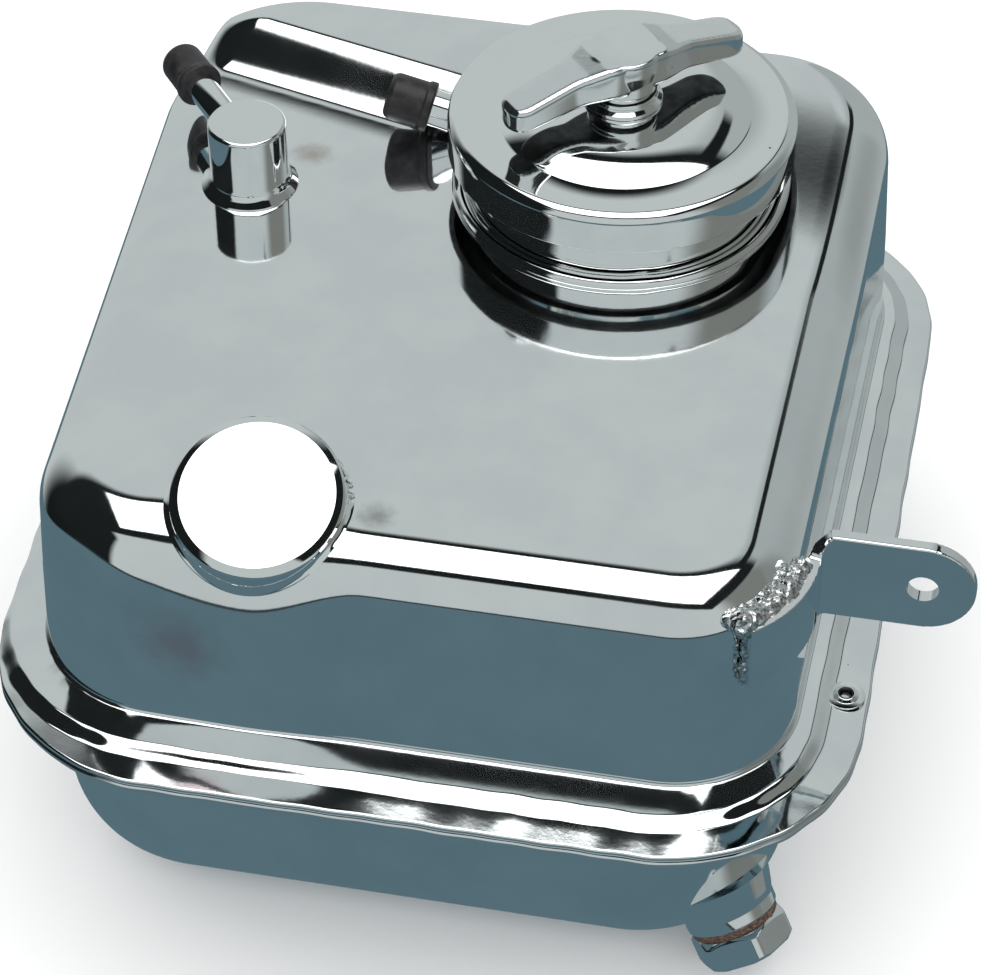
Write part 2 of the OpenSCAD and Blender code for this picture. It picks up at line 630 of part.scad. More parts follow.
module feed_outlet() color("silver") in_frame() at_outlet(-9) difference() {
    union() {
        cylinder(d = outlet_d, h = outlet_l);
        translate([0, 0, outlet_collar]) cylinder(d = outlet_d + 6, h = 1.5);
    }
    translate([0, 0, -1]) cylinder(d = outlet_d - 2, h = outlet_l + 2);
}

module outlet_strainer() color("darkkhaki") in_frame() difference() {
    at_outlet(-31) cylinder(d = outlet_d + 2.4, h = 26);
    at_outlet(-30) cylinder(d = outlet_d + 0.02, h = 30);
    for (k = [0:4]) translate(outlet_at + [0, -28 + 3.5 * k, 0])
        rotate([0, 30 * (k % 2), 0]) cylinder(d = 1.6, h = 30, center = true);
}

upper_shell();
lower_shell();
seam_weld();
filler_neck();
neck_weld();
lock_lugs();
cap_cover();
cap_gasket();
gasket_retainer();
cap_handle();
handle_pin();
thrust_collar();
cap_spindle();
lock_bar();
spindle_nut();
vent_turret();
vent_weld();
vent_tube();
vent_rubber_cap();
overflow_tube();
overflow_rubber_cap();
front_boss();
boss_weld();
mounting_bracket();
bracket_weld();
flange_rivet();
drain_boss();
drain_washer();
drain_plug();
feed_outlet();
outlet_strainer();
baffle_plate();
return_pipe();
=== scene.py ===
"""Looks of the plated fluid reservoir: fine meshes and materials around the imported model.

Shapes are drawn in millimetres about the filler axis, with z = 0 on the flat of the tank's top,
as in the part's source. place() moves them into the row frame.
"""

import math

import bmesh
import bpy
import numpy as np
from mathutils import Matrix, Vector, noise
from mathutils.bvhtree import BVHTree


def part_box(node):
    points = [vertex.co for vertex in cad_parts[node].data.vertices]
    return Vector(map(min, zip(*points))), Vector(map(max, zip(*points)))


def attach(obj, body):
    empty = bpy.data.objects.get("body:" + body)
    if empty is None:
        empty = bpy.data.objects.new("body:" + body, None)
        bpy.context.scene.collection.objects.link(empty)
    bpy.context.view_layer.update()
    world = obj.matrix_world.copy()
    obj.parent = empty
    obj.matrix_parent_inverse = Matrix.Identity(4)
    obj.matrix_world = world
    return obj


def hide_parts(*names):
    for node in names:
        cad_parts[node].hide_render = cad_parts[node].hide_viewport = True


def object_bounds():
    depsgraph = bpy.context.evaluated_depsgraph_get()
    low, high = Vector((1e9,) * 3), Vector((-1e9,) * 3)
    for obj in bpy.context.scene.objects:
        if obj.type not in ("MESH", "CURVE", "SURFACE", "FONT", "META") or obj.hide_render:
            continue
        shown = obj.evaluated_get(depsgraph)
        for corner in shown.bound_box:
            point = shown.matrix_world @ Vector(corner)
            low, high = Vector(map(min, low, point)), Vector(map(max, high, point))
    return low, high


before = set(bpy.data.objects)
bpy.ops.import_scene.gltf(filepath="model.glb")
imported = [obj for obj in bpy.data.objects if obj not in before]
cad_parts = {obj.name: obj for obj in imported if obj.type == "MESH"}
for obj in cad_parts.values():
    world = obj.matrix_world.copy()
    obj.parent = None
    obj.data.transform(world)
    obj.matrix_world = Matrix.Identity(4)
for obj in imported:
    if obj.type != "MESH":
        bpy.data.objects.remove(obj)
cad_low, cad_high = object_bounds()

MM = 0.001

# ---- Driving dimensions, in millimetres ------------------------------------------------------

FRONT_REACH, REAR_REACH, RIGHT_REACH, LEFT_REACH = 130.0, 50.0, 55.0, 107.6
RIGHT_FLARE, LEFT_TAPER = 3.0, 0.05
UPPER_H, LOWER_H, SHEET_T = 47.7, 58.0, 1.2
TOP_EDGE_R, BOTTOM_EDGE_R, REAR_STEP_H = 12.5, 19.0, 9.1
FLANGE_FRONT, FLANGE_RIGHT, FLANGE_LEFT, FLANGE_REAR, FLANGE_STEP = 17.2, 14.3, 8.4, 6.5, 1.6
SEAM_GAP = 0.5
LAND_FRONT, LAND_RIGHT, STEP_W, OUTER_FALL = 9.2, 4.5, 3.7, 0.078
FOOT_FALL, FOOT_REACH = 0.1, 7.8
WALL_DRAFT, WALL_FILLET = 1.4, 0.9
MID_Z, MID_INSET = -28.0, 0.6
BULGE_LEFT, BULGE_RIGHT, BULGE_OUT, BULGE_FOOT, BULGE_DOWN, BULGE_BACK = 40.0, 24.0, 4.5, 0.8, 11.5, 2.5
LOWER_DRAFT, LOWER_GROW = math.radians(5), 3.5
CAP_D, CAP_Z, CAP_H, DOME_H, DOME_FOOT = 75.0, 10.6, 9.4, 2.9, 27.8
NECK_D = 67.0
WING_REACH, WING_TURN = 29.0, math.radians(42)
VENT_D, VENT_H, VENT_TUBE_D, VENT_TUBE_Z = 17.0, 16.3, 6.7, 9.4
OVERFLOW_D = 8.4
BOSS_D, BOSS_DEPTH = 35.0, 12.0
BRACKET_T, TAB_H, BRACKET_HOLE_D = 2.8, 21.0, 6.4
DRAIN_BOSS_D, DRAIN_HEX, WASHER_T, PLUG_HEAD_H, DRAIN_THREAD_D = 20.0, 19.0, 1.6, 6.9, 12.0

LAND_Z = -UPPER_H
FLOOR_Z = LAND_Z - LOWER_H
EDGE_Z = -TOP_EDGE_R
LEFT_FRONT = -(LEFT_REACH - LEFT_TAPER * FRONT_REACH)
LEFT_REAR = -(LEFT_REACH + LEFT_TAPER * REAR_REACH)
WALL = np.array([[LEFT_FRONT, -FRONT_REACH], [RIGHT_REACH, -FRONT_REACH],
                 [RIGHT_REACH + RIGHT_FLARE, REAR_REACH], [LEFT_REAR, REAR_REACH]])
WALL_R = [28, 26, 30, 34]
FLANGE = WALL + [[-FLANGE_LEFT, -FLANGE_FRONT], [FLANGE_RIGHT, -FLANGE_FRONT],
                 [FLANGE_RIGHT - RIGHT_FLARE, FLANGE_REAR], [-FLANGE_LEFT, FLANGE_REAR]]
FLANGE_R = [40, 41, 37, 41]
LAND = WALL + [[-1.5, -LAND_FRONT], [LAND_RIGHT, -LAND_FRONT], [LAND_RIGHT, 0.5], [-0.5, 0.5]]
LAND_R = [27, 33, 32, 34]
LOWER = WALL + [[-LOWER_GROW, -LOWER_GROW], [LOWER_GROW, -LOWER_GROW], [0, 0], [-LOWER_GROW, 0]]
LOWER_R = [36, 36, 36, 38]
CREASE_AT = np.array([-75, 2.3])
CREASE_N = np.array([math.sin(math.radians(14.8)), math.cos(math.radians(14.8))])
STEP_RUN, STEP_RUN_RIGHT = 27.0, 72.0
VENT_AT, VENT_YAW = np.array([-79.1, -15.2]), math.radians(129)
OVERFLOW_AT, OVERFLOW_TILT = np.array([-30, 7.8, 4.6]), math.radians(14)
BOSS_AT, BOSS_YAW, BOSS_TILT = np.array([-52.6, -115.2, 3.6]), math.radians(5), math.radians(24)
DRAIN_AT, DRAIN_DIR = np.array([46.1, -117.4, -97.7]), np.array([0.466, -0.336, -0.818])
BRACKET_HOLE = np.array([78, -101.2, -10])
RIVET_AT = np.array([64.5, -96.5])

# The cap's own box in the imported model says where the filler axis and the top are
cap_low, cap_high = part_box("cap_cover")
ORIGIN = np.array([(cap_low.x + cap_high.x) / 2, (cap_low.y + cap_high.y) / 2, cap_low.z - CAP_Z * MM])


# ---- Outlines and surfaces -------------------------------------------------------------------

def place(points):
    """Millimetres about the filler axis to metres in the row frame."""
    return ORIGIN + np.asarray(points, float) * MM


def mix(a, b, t):
    return a + (b - a) * t


def smooth(t):
    s = np.clip(t, 0, 1)
    return s * s * (3 - 2 * s)


def ring_noise(count, seed, waves, share=0.7):
    """A smooth random line round a closed ring, about 1 high, from that many waves."""
    rng = np.random.default_rng(seed)
    angle = np.linspace(0, 2 * math.pi, count, endpoint=False)
    line = np.zeros(count)
    for wave in waves:
        line += rng.normal() * np.sin(wave * angle + rng.uniform(0, 2 * math.pi))
    return line * share / math.sqrt(len(waves))


ARC_POINTS, SIDE_POINTS = 44, 66


def outline(corners, radii, inset=0.0):
    """A quadrilateral with four rounded corners, moved inwards by inset."""
    side = np.roll(corners, -1, 0) - corners
    side = side / np.linalg.norm(side, axis=1)[:, None]
    normal = np.column_stack([side[:, 1], -side[:, 0]])
    rows = []
    centres = [corners[i] - radii[i] * (normal[i - 1] + normal[i]) / (1 + normal[i - 1] @ normal[i])
               for i in range(4)]
    for i in range(4):
        j = (i + 1) % 4
        start = math.atan2(normal[i - 1][1], normal[i - 1][0])
        turn = (math.atan2(normal[i][1], normal[i][0]) - start) % (2 * math.pi)
        a = start + turn * np.linspace(0, 1, ARC_POINTS + 1)
        rows.append(centres[i] + (radii[i] - inset) * np.column_stack([np.cos(a), np.sin(a)]))
        t = (np.arange(1, SIDE_POINTS) / SIDE_POINTS)[:, None]
        first = centres[i] + (radii[i] - inset) * normal[i]
        last = centres[j] + (radii[j] - inset) * normal[i]
        rows.append(mix(first, last, t))
    return np.vstack(rows)


def step_shape(q):
    toe = 0.14 * (np.maximum(q, 0) / 0.44) ** 2
    return np.where(q < 0.44, toe, 0.14 + 0.86 * smooth((q - 0.44) / 0.56))


def raised(p):
    """Height of the raised rear part over points of the top."""
    right = smooth((p[:, 0] + 30) / 60)
    q = (p[:, :2] - CREASE_AT) @ CREASE_N / mix(STEP_RUN, STEP_RUN_RIGHT, right)
    return REAR_STEP_H * mix(step_shape(q), smooth(q), right) * smooth((p[:, 0] + LEFT_REACH + 1) / 13)


def bulge(p):
    """Share of the bulge that the front's edge has around the blanking cup."""
    reach = np.where(p[:, 0] < BOSS_AT[0], BULGE_LEFT, BULGE_RIGHT)
    return smooth(1 - np.abs(p[:, 0] - BOSS_AT[0]) / reach) * smooth((-100 - p[:, 1]) / 18)


# ---- Meshes ----------------------------------------------------------------------------------

def add_piece(name, points, faces, body, slot, material, replaces=(), smooth_angle=None):
    """A closed mesh from millimetre points, which rides on a body and stands for CAD nodes."""
    mesh = bpy.data.meshes.new(name)
    mesh.from_pydata(place(points).tolist(), [], faces)
    tool = bmesh.new()
    tool.from_mesh(mesh)
    bmesh.ops.remove_doubles(tool, verts=tool.verts, dist=1e-7)
    bmesh.ops.recalc_face_normals(tool, faces=tool.faces)
    tool.to_mesh(mesh)
    tool.free()
    mesh.shade_smooth()
    if smooth_angle:
        mesh.set_sharp_from_angle(angle=math.radians(smooth_angle))
    piece = bpy.data.objects.new(name, mesh)
    bpy.context.scene.collection.objects.link(piece)
    mesh.materials.append(material)
    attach(piece, body)
    if replaces:
        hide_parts(*replaces)
    return piece


def skin(rings, closed=False):
    """Points and faces of a skin over rings of equal length: a tube bent back on itself, or one
    closed by a fan at each end."""
    count, n = len(rings), len(rings[0])
    points = np.vstack(rings)
    i = np.arange(n)
    k = (i + 1) % n
    faces = []
    for j in range(count if closed else count - 1):
        a, b = j * n, ((j + 1) % count) * n
        faces.append(np.column_stack([a + i, a + k, b + k, b + i]))
    faces = np.vstack(faces).tolist()
    if not closed:
        points = np.vstack([points, rings[0].mean(0), rings[-1].mean(0)])
        first, last, end = count * n, count * n + 1, (count - 1) * n
        faces += np.column_stack([k, i, np.full(n, first)]).tolist()
        faces += np.column_stack([end + i, end + k, np.full(n, last)]).tolist()
    return points, faces


def joined(*shapes):
    """Several (points, faces) as one."""
    points, faces, start = [], [], 0
    for p, f in shapes:
        points.append(p)
        faces += [[v + start for v in face] for face in f]
        start += len(p)
    return np.vstack(points), faces


def round_profile(corners, steps=5):
    """A lathe profile of (radius, height, rounding) corners, each rounded by an arc."""
    corners = [np.array(c, float) for c in corners]
    out = []
    for i, c in enumerate(corners):
        if c[2] <= 0 or i in (0, len(corners) - 1):
            out.append(c[:2])
            continue
        before, after = corners[i - 1][:2] - c[:2], corners[i + 1][:2] - c[:2]
        la, lb = np.linalg.norm(before), np.linalg.norm(after)
        before, after = before / la, after / lb
        half = math.acos(np.clip(before @ after, -1, 1)) / 2
        reach = min(c[2] / math.tan(half), 0.49 * la, 0.49 * lb)
        radius = reach * math.tan(half)
        middle = c[:2] + (before + after) / np.linalg.norm(before + after) * radius / math.sin(half)
        start = c[:2] + before * reach - middle
        end = c[:2] + after * reach - middle
        turn = math.atan2(start[0] * end[1] - start[1] * end[0], start @ end)
        for t in np.linspace(0, 1, steps + 1):
            a = turn * t
            turned = [start[0] * math.cos(a) - start[1] * math.sin(a),
                      start[0] * math.sin(a) + start[1] * math.cos(a)]
            out.append(middle + turned)
    return np.array(out)


def lathe(profile, count=128, closed=False):
    """Rings of a turned shape about Z, from (radius, height) rows."""
    a = np.linspace(0, 2 * math.pi, count, endpoint=False)
    return skin([np.column_stack([r * np.cos(a), r * np.sin(a), np.full(count, z)])
                 for r, z in profile], closed)


def moved(shape, at=(0, 0, 0), matrix=None):
    points, faces = shape
    if matrix is not None:
        points = points @ np.array(matrix.to_3x3()).T
    return points + np.asarray(at, float), faces


def along(direction):
    """A turn that brings Z onto a direction."""
    return Vector(direction).to_track_quat("Z", "Y").to_matrix()


def as_block(shape, name):
    """A shape as an object for a while, so that modifiers can work on it."""
    mesh = bpy.data.meshes.new(name)
    mesh.from_pydata(shape[0].tolist(), [], shape[1])
    tool = bmesh.new()
    tool.from_mesh(mesh)
    bmesh.ops.recalc_face_normals(tool, faces=tool.faces)
    tool.to_mesh(mesh)
    tool.free()
    block = bpy.data.objects.new(name, mesh)
    bpy.context.scene.collection.objects.link(block)
    return block


def taken(block, *helpers):
    """The shape that a block's modifiers made; the block and its helpers are removed."""
    depsgraph = bpy.context.evaluated_depsgraph_get()
    made = bpy.data.meshes.new_from_object(block.evaluated_get(depsgraph))
    points = np.zeros(len(made.vertices) * 3)
    made.vertices.foreach_get("co", points)
    faces = [list(f.vertices) for f in made.polygons]
    for used in (block, *helpers):
        bpy.data.objects.remove(used)
    bpy.data.meshes.remove(made)
    return points.reshape(-1, 3), faces


def fused(shape, voxel, rounds=6, factor=0.5):
    """Overlapping closed shapes as one skin with softened edges."""
    block = as_block(shape, "fusing")
    remesh = block.modifiers.new("Remesh", "REMESH")
    remesh.mode = "VOXEL"
    remesh.voxel_size = voxel
    soften = block.modifiers.new("Soften", "SMOOTH")
    soften.iterations = rounds
    soften.factor = factor
    return taken(block)


def drilled(shape, at, direction, radius, depth):
    """The shape with a round hole cut through it."""
    block = as_block(shape, "drilled")
    bit = lathe([(0, -depth), (radius, -depth), (radius, depth), (0, depth)], 64)
    drill = as_block(moved(bit, at, along(direction)), "drill")
    cut = block.modifiers.new("Cut", "BOOLEAN")
    cut.operation, cut.object, cut.solver = "DIFFERENCE", drill, "EXACT"
    return taken(block, drill)


def field(points, scale, seed):
    """Smooth noise at each point, about -1 to 1; scale is the size of its lumps."""
    shift = Vector((seed * 17.3, seed * 5.1, seed * 9.7))
    return np.array([noise.noise(Vector(p) / scale + shift) for p in points])


# ---- Materials -------------------------------------------------------------------------------

class Nodes:
    """A short way to write the nodes of a material or of the world."""

    def __init__(self, owner, shader="Principled BSDF", coord="Object"):
        self.owner = owner
        owner.use_nodes = True
        self.tree = owner.node_tree
        self.shader = self.tree.nodes[shader]
        self.coord = self.add("ShaderNodeTexCoord").outputs[coord]

    def add(self, kind, **values):
        node = self.tree.nodes.new(kind)
        for key, value in values.items():
            setattr(node, key, value)
        return node

    def link(self, a, b):
        self.tree.links.new(a, b)

    def fill(self, socket, value):
        """A socket takes a number, a colour or a link."""
        if isinstance(value, (int, float)):
            socket.default_value = value
        elif isinstance(value, tuple):
            socket.default_value = (*value, 1)
        else:
            self.link(value, socket)

    def math(self, operation, *values):
        node = self.add("ShaderNodeMath", operation=operation)
        for socket, value in zip(node.inputs, values):
            self.fill(socket, value)
        return node.outputs[0]

    def stretched(self, scale=(1, 1, 1), turn=(0, 0, 0)):
        node = self.add("ShaderNodeMapping")
        node.inputs["Scale"].default_value = scale
        node.inputs["Rotation"].default_value = turn
        self.link(self.coord, node.inputs["Vector"])
        return node.outputs[0]

    def noise(self, size, detail=3.0, vector=None, roughness=0.55):
        """Noise from 0 to 1 with lumps of that size in metres."""
        node = self.add("ShaderNodeTexNoise")
        node.inputs["Scale"].default_value = 1 / size
        node.inputs["Detail"].default_value = detail
        node.inputs["Roughness"].default_value = roughness
        self.link(vector or self.coord, node.inputs["Vector"])
        return node.outputs["Fac"]

    def ramp(self, value, low, high, to_low=0.0, to_high=1.0):
        node = self.add("ShaderNodeMapRange", interpolation_type="SMOOTHSTEP")
        for socket, number in zip(list(node.inputs)[1:5], (low, high, to_low, to_high)):
            socket.default_value = number
        self.link(value, node.inputs[0])
        return node.outputs[0]

    def blend(self, value, low, high):
        """A colour that goes from low to high with value."""
        node = self.add("ShaderNodeMix", data_type="RGBA")
        self.fill(node.inputs["A"], low)
        self.fill(node.inputs["B"], high)
        self.link(value, node.inputs["Factor"])
        return node.outputs["Result"]

    def spot(self, at, size):
        """1 at a point of the object, in millimetres, and 0 beyond a ragged edge."""
        node = self.add("ShaderNodeVectorMath", operation="DISTANCE")
        node.inputs[1].default_value = place(at)
        self.link(self.coord, node.inputs[0])
        reach = size * MM
        ragged = self.math("MULTIPLY", self.noise(reach * 0.6, 4, roughness=0.65), reach * 0.9)
        distance = self.math("ADD", node.outputs["Value"], ragged)
        return self.ramp(distance, reach * 0.4, reach * 1.2, 1, 0)

    def bump(self, height, distance, strength=1.0, normal=None):
        node = self.add("ShaderNodeBump")
        node.inputs["Distance"].default_value = distance
        node.inputs["Strength"].default_value = strength
        self.link(height, node.inputs["Height"])
        if normal is not None:
            self.link(normal, node.inputs["Normal"])
        return node.outputs[0]

    def pits(self, spacing, size):
        """1 in small sparse pits, 0 elsewhere."""
        node = self.add("ShaderNodeTexVoronoi")
        node.inputs["Scale"].default_value = 1 / spacing
        self.link(self.coord, node.inputs["Vector"])
        near = self.ramp(node.outputs["Distance"], size / spacing * 0.7, size / spacing, 1.0, 0.0)
        chosen = self.add("ShaderNodeSeparateColor")
        self.link(node.outputs["Color"], chosen.inputs[0])
        return self.math("MULTIPLY", near, self.math("GREATER_THAN", chosen.outputs[0], 0.6))


def new_material(name):
    return Nodes(bpy.data.materials.new(name))


def chrome(name, bright, dull, rough, orange_peel, brushed, pitting=True, tint_spots=()):
    """Plating: mirror bright, with a faint orange peel, polishing lines, haze and small pits."""
    n = new_material(name)
    n.shader.inputs["Metallic"].default_value = 1.0
    haze = n.noise(0.018, 4)
    lines = n.noise(0.0008, 2, n.stretched((1, 1, 0.02)))
    peel = n.noise(0.0022, 2)
    colour = n.blend(n.ramp(haze, 0.3, 0.7), dull, bright)
    roughness = n.ramp(haze, 0.25, 0.8, rough * 1.5, rough * 0.75)
    normal = n.bump(peel, orange_peel * MM)
    normal = n.bump(lines, brushed * MM, normal=normal)
    if pitting:
        pits = n.pits(0.011, 0.0003)
        colour = n.blend(pits, colour, (0.02, 0.02, 0.02))
        roughness = n.math("MAXIMUM", roughness, n.math("MULTIPLY", pits, 0.6))
    # Each listed spot tints the plating and roughens it a little; the one below the blanking cup is a
    # painted reflection.
    for at, size, stain in tint_spots:
        spot = n.spot(at, size)
        colour = n.blend(n.math("MULTIPLY", spot, 0.75), colour, stain)
        roughness = n.math("MAXIMUM", roughness, n.math("MULTIPLY", spot, 0.2))
    n.link(colour, n.shader.inputs["Base Color"])
    n.link(roughness, n.shader.inputs["Roughness"])
    n.link(normal, n.shader.inputs["Normal"])
    return n.owner


def weld_chrome():
    """Plating over a rough weld bead."""
    n = new_material("weld_chrome")
    n.shader.inputs["Metallic"].default_value = 1.0
    grain = n.noise(0.0007, 4)
    lumps = n.noise(0.003, 3)
    n.link(n.blend(n.ramp(grain, 0.35, 0.62), (0.3, 0.3, 0.3), (0.9, 0.91, 0.91)),
           n.shader.inputs["Base Color"])
    n.link(n.ramp(lumps, 0.3, 0.7, 0.05, 0.2), n.shader.inputs["Roughness"])
    n.link(n.bump(grain, 0.12 * MM), n.shader.inputs["Normal"])
    return n.owner


def dull_shaded_plate():
    """Dull grey plating where polishing does not reach, its colour darkened nearly to black as painted
    shade.
    """
    n = new_material("dull_shaded_plate")
    n.shader.inputs["Metallic"].default_value = 1.0
    stain = n.noise(0.004, 4)
    n.link(n.blend(n.ramp(stain, 0.3, 0.75), (0.035, 0.036, 0.038), (0.075, 0.076, 0.078)),
           n.shader.inputs["Base Color"])
    n.link(n.ramp(stain, 0.2, 0.8, 0.45, 0.3), n.shader.inputs["Roughness"])
    return n.owner


def steel():
    """Plain machined steel inside the cap and the tank."""
    n = new_material("bare_steel")
    n.shader.inputs["Metallic"].default_value = 1.0
    lines = n.noise(0.0006, 3, n.stretched((1, 1, 0.05)))
    stain = n.noise(0.01, 4)
    n.link(n.blend(n.ramp(stain, 0.3, 0.75), (0.30, 0.29, 0.28), (0.52, 0.52, 0.52)),
           n.shader.inputs["Base Color"])
    n.link(n.ramp(stain, 0.2, 0.8, 0.42, 0.26), n.shader.inputs["Roughness"])
    n.link(n.bump(lines, 0.02 * MM), n.shader.inputs["Normal"])
    return n.owner


def rubber(name, base, worn):
    """Black rubber with a dusty bloom and a fine grain."""
    n = new_material(name)
    bloom = n.noise(0.004, 5, roughness=0.7)
    grain = n.noise(0.0004, 2)
    n.link(n.blend(n.ramp(bloom, 0.4, 0.75), base, worn), n.shader.inputs["Base Color"])
    n.link(n.ramp(bloom, 0.3, 0.8, 0.34, 0.55), n.shader.inputs["Roughness"])
    n.link(n.bump(grain, 0.03 * MM), n.shader.inputs["Normal"])
    return n.owner


def fibre():
    """Brown pressed fibre with pale strands."""
    n = new_material("washer_fibre")
    strands = n.noise(0.0009, 5, n.stretched((1, 1, 3)), 0.7)
    n.link(n.blend(n.ramp(strands, 0.35, 0.7), (0.02, 0.011, 0.008), (0.2, 0.11, 0.07)),
           n.shader.inputs["Base Color"])
    n.link(n.ramp(strands, 0.3, 0.7, 0.75, 0.5), n.shader.inputs["Roughness"])
    n.link(n.bump(strands, 0.08 * MM), n.shader.inputs["Normal"])
    return n.owner


def brass():
    """Perforated strainer brass, dulled by the fluid."""
    n = new_material("strainer_brass")
    n.shader.inputs["Metallic"].default_value = 1.0
    stain = n.noise(0.004, 4)
    n.link(n.blend(n.ramp(stain, 0.3, 0.75), (0.42, 0.28, 0.11), (0.78, 0.6, 0.28)),
           n.shader.inputs["Base Color"])
    n.link(n.ramp(stain, 0.3, 0.7, 0.4, 0.22), n.shader.inputs["Roughness"])
    n.link(n.bump(stain, 0.03 * MM), n.shader.inputs["Normal"])
    return n.owner


CHROME_TINT, CHROME_DULL = (0.93, 0.95, 0.95), (0.87, 0.89, 0.9)
# Spots that tint the plating: a point, a size in millimetres, a colour. The first, on the wall below the
# blanking cup, is a painted dark purple-ish reflection; the other two are darker patches, grey and brownish.
PLATE_TINT_SPOTS = [((-66, -133, -24), 17, (0.82, 0.56, 0.6)), ((-29, -113, 0), 7, (0.36, 0.37, 0.36)),
                ((-68, -3, 1), 8, (0.5, 0.44, 0.38))]

materials = {
    "chrome_plate": chrome("chrome_plate", CHROME_TINT, CHROME_DULL, 0.05, 0.004, 0.0015,
                           tint_spots=PLATE_TINT_SPOTS),
    "cap_chrome": chrome("cap_chrome", (0.95, 0.96, 0.96), (0.92, 0.94, 0.94), 0.03, 0.002, 0.0005),
    "cast_chrome": chrome("cast_chrome", (0.93, 0.94, 0.94), (0.85, 0.87, 0.88), 0.08, 0.012, 0.001),
    "dull_shaded_plate": dull_shaded_plate(),
    "weld_plate": weld_chrome(),
    "bare_steel": steel(),
    "cap_rubber": rubber("cap_rubber", (0.009, 0.008, 0.009), (0.037, 0.033, 0.036)),
    "seal_rubber": rubber("seal_rubber", (0.02, 0.02, 0.02), (0.04, 0.04, 0.04)),
    "washer_fibre": fibre(),
    "strainer_brass": brass(),
}

# ---- Tank shells -----------------------------------------------------------------------------

RING = 4 * (ARC_POINTS + SIDE_POINTS)
WALL_LINE, FLANGE_LINE = outline(WALL, WALL_R), outline(FLANGE, FLANGE_R)
LOWER_LINE = outline(LOWER, LOWER_R)
LAND_S = np.linalg.norm(outline(LAND, LAND_R) - WALL_LINE, axis=1)
FLANGE_L = np.linalg.norm(FLANGE_LINE - WALL_LINE, axis=1)
FLANGE_OUT = (FLANGE_LINE - WALL_LINE) / FLANGE_L[:, None]
FRONT_SHARE = smooth((-92 - WALL_LINE[:, 1]) / 30)
EDGE_WAVE = ring_noise(RING, 3, range(9, 70, 3))
EDGE_LIFT = ring_noise(RING, 4, range(12, 90, 5))
STEP_WAVE = ring_noise(RING, 5, range(7, 80, 4))
FOOT_WAVE = ring_noise(RING, 6, range(30, 200, 7))


def fillet_z(d):
    return WALL_FILLET * (1 - np.sqrt(1 - np.clip(1 - d / WALL_FILLET, 0, 1) ** 2))


def foot_z(d):
    """The land falls from the wall's foot, ever less steeply, in front and round the front corners."""
    s = np.clip(d / FOOT_REACH, 0, 1)
    return FOOT_FALL * FOOT_REACH * FRONT_SHARE * (1 - s) ** 2 / 2


def step_z(d):
    past = d - LAND_S - 0.2 * STEP_WAVE
    outer = OUTER_FALL * np.maximum(past - STEP_W / 2, 0)
    return -FLANGE_STEP * smooth(past / STEP_W + 0.5) - outer + foot_z(d)


def sheet_edge(p, share, lift):
    """The rim's sheet wanders a little in and out, and up and down."""
    p = p + FLANGE_OUT * (0.16 * EDGE_WAVE * share)[:, None]
    return p, 0.04 * EDGE_LIFT * share * lift


def flange_ring(t, drop, lift=1.0):
    """A ring of the upper sheet: at the wall (0), the end of its fillet (1) and the edge (2)."""
    d = np.full(RING, WALL_FILLET * t) if t < 1 else mix(WALL_FILLET, FLANGE_L, t - 1)
    p, wave = sheet_edge(mix(WALL_LINE, FLANGE_LINE, (d / FLANGE_L)[:, None]), smooth((t - 1.6) / 0.4), lift)
    foot = 0.03 * FOOT_WAVE * smooth(t) * smooth((1.3 - t) / 0.2)
    p = p - bulge(WALL_LINE)[:, None] * (0, BULGE_FOOT * smooth(2 - t))
    return np.column_stack([p, LAND_Z + fillet_z(d) + step_z(d) - drop + wave + foot])


def under_ring(t, drop):
    """A ring of the lower sheet, from its own wall (0) to the edge (1)."""
    p = mix(LOWER_LINE, FLANGE_LINE, t)
    d = np.linalg.norm(p - WALL_LINE, axis=1)
    p, wave = sheet_edge(p, smooth((t - 0.5) / 0.5), -0.8)
    return np.column_stack([p, LAND_Z + step_z(d) - drop + wave])


def foot_ring(inset, height):
    p = outline(WALL, WALL_R, inset)
    z = LAND_Z + height + step_z(np.zeros(RING))
    return np.column_stack([p[:, 0], p[:, 1] - bulge(p) * BULGE_FOOT, z])


def wall_ring(inset, z, share):
    p = outline(WALL, WALL_R, inset)
    share_out = np.clip((z - LAND_Z) / (EDGE_Z - BULGE_DOWN * bulge(p) - LAND_Z), 0, 1)
    out = bulge(p) * mix(BULGE_FOOT, BULGE_OUT, share_out)
    return np.column_stack([p[:, 0], p[:, 1] - out, z + raised(p) * share])


def edge_ring(a, t):
    """The rounded top edge, from the wall (a = 0) to the flat (a quarter turn)."""
    r = TOP_EDGE_R - t
    p = outline(WALL, WALL_R, WALL_DRAFT + t + r * (1 - math.cos(a)))
    swell = bulge(p)
    z = EDGE_Z + r * math.sin(a) + raised(p) - swell * BULGE_DOWN * (1 - math.sin(a))
    return np.column_stack([p[:, 0], p[:, 1] - swell * mix(-BULGE_BACK, BULGE_OUT, math.cos(a)), z])


def top_ring(share, drop=0.0):
    rim = outline(WALL, WALL_R, WALL_DRAFT + TOP_EDGE_R)
    edge = np.column_stack([rim[:, 0], rim[:, 1] + bulge(rim) * BULGE_BACK])
    hole = (NECK_D / 2 + 0.3) * rim / np.linalg.norm(rim, axis=1)[:, None]
    p = mix(edge, hole, share)
    return np.column_stack([p, raised(p) - drop])


def blended(first, last, shares):
    return [mix(first, last, s) for s in shares]


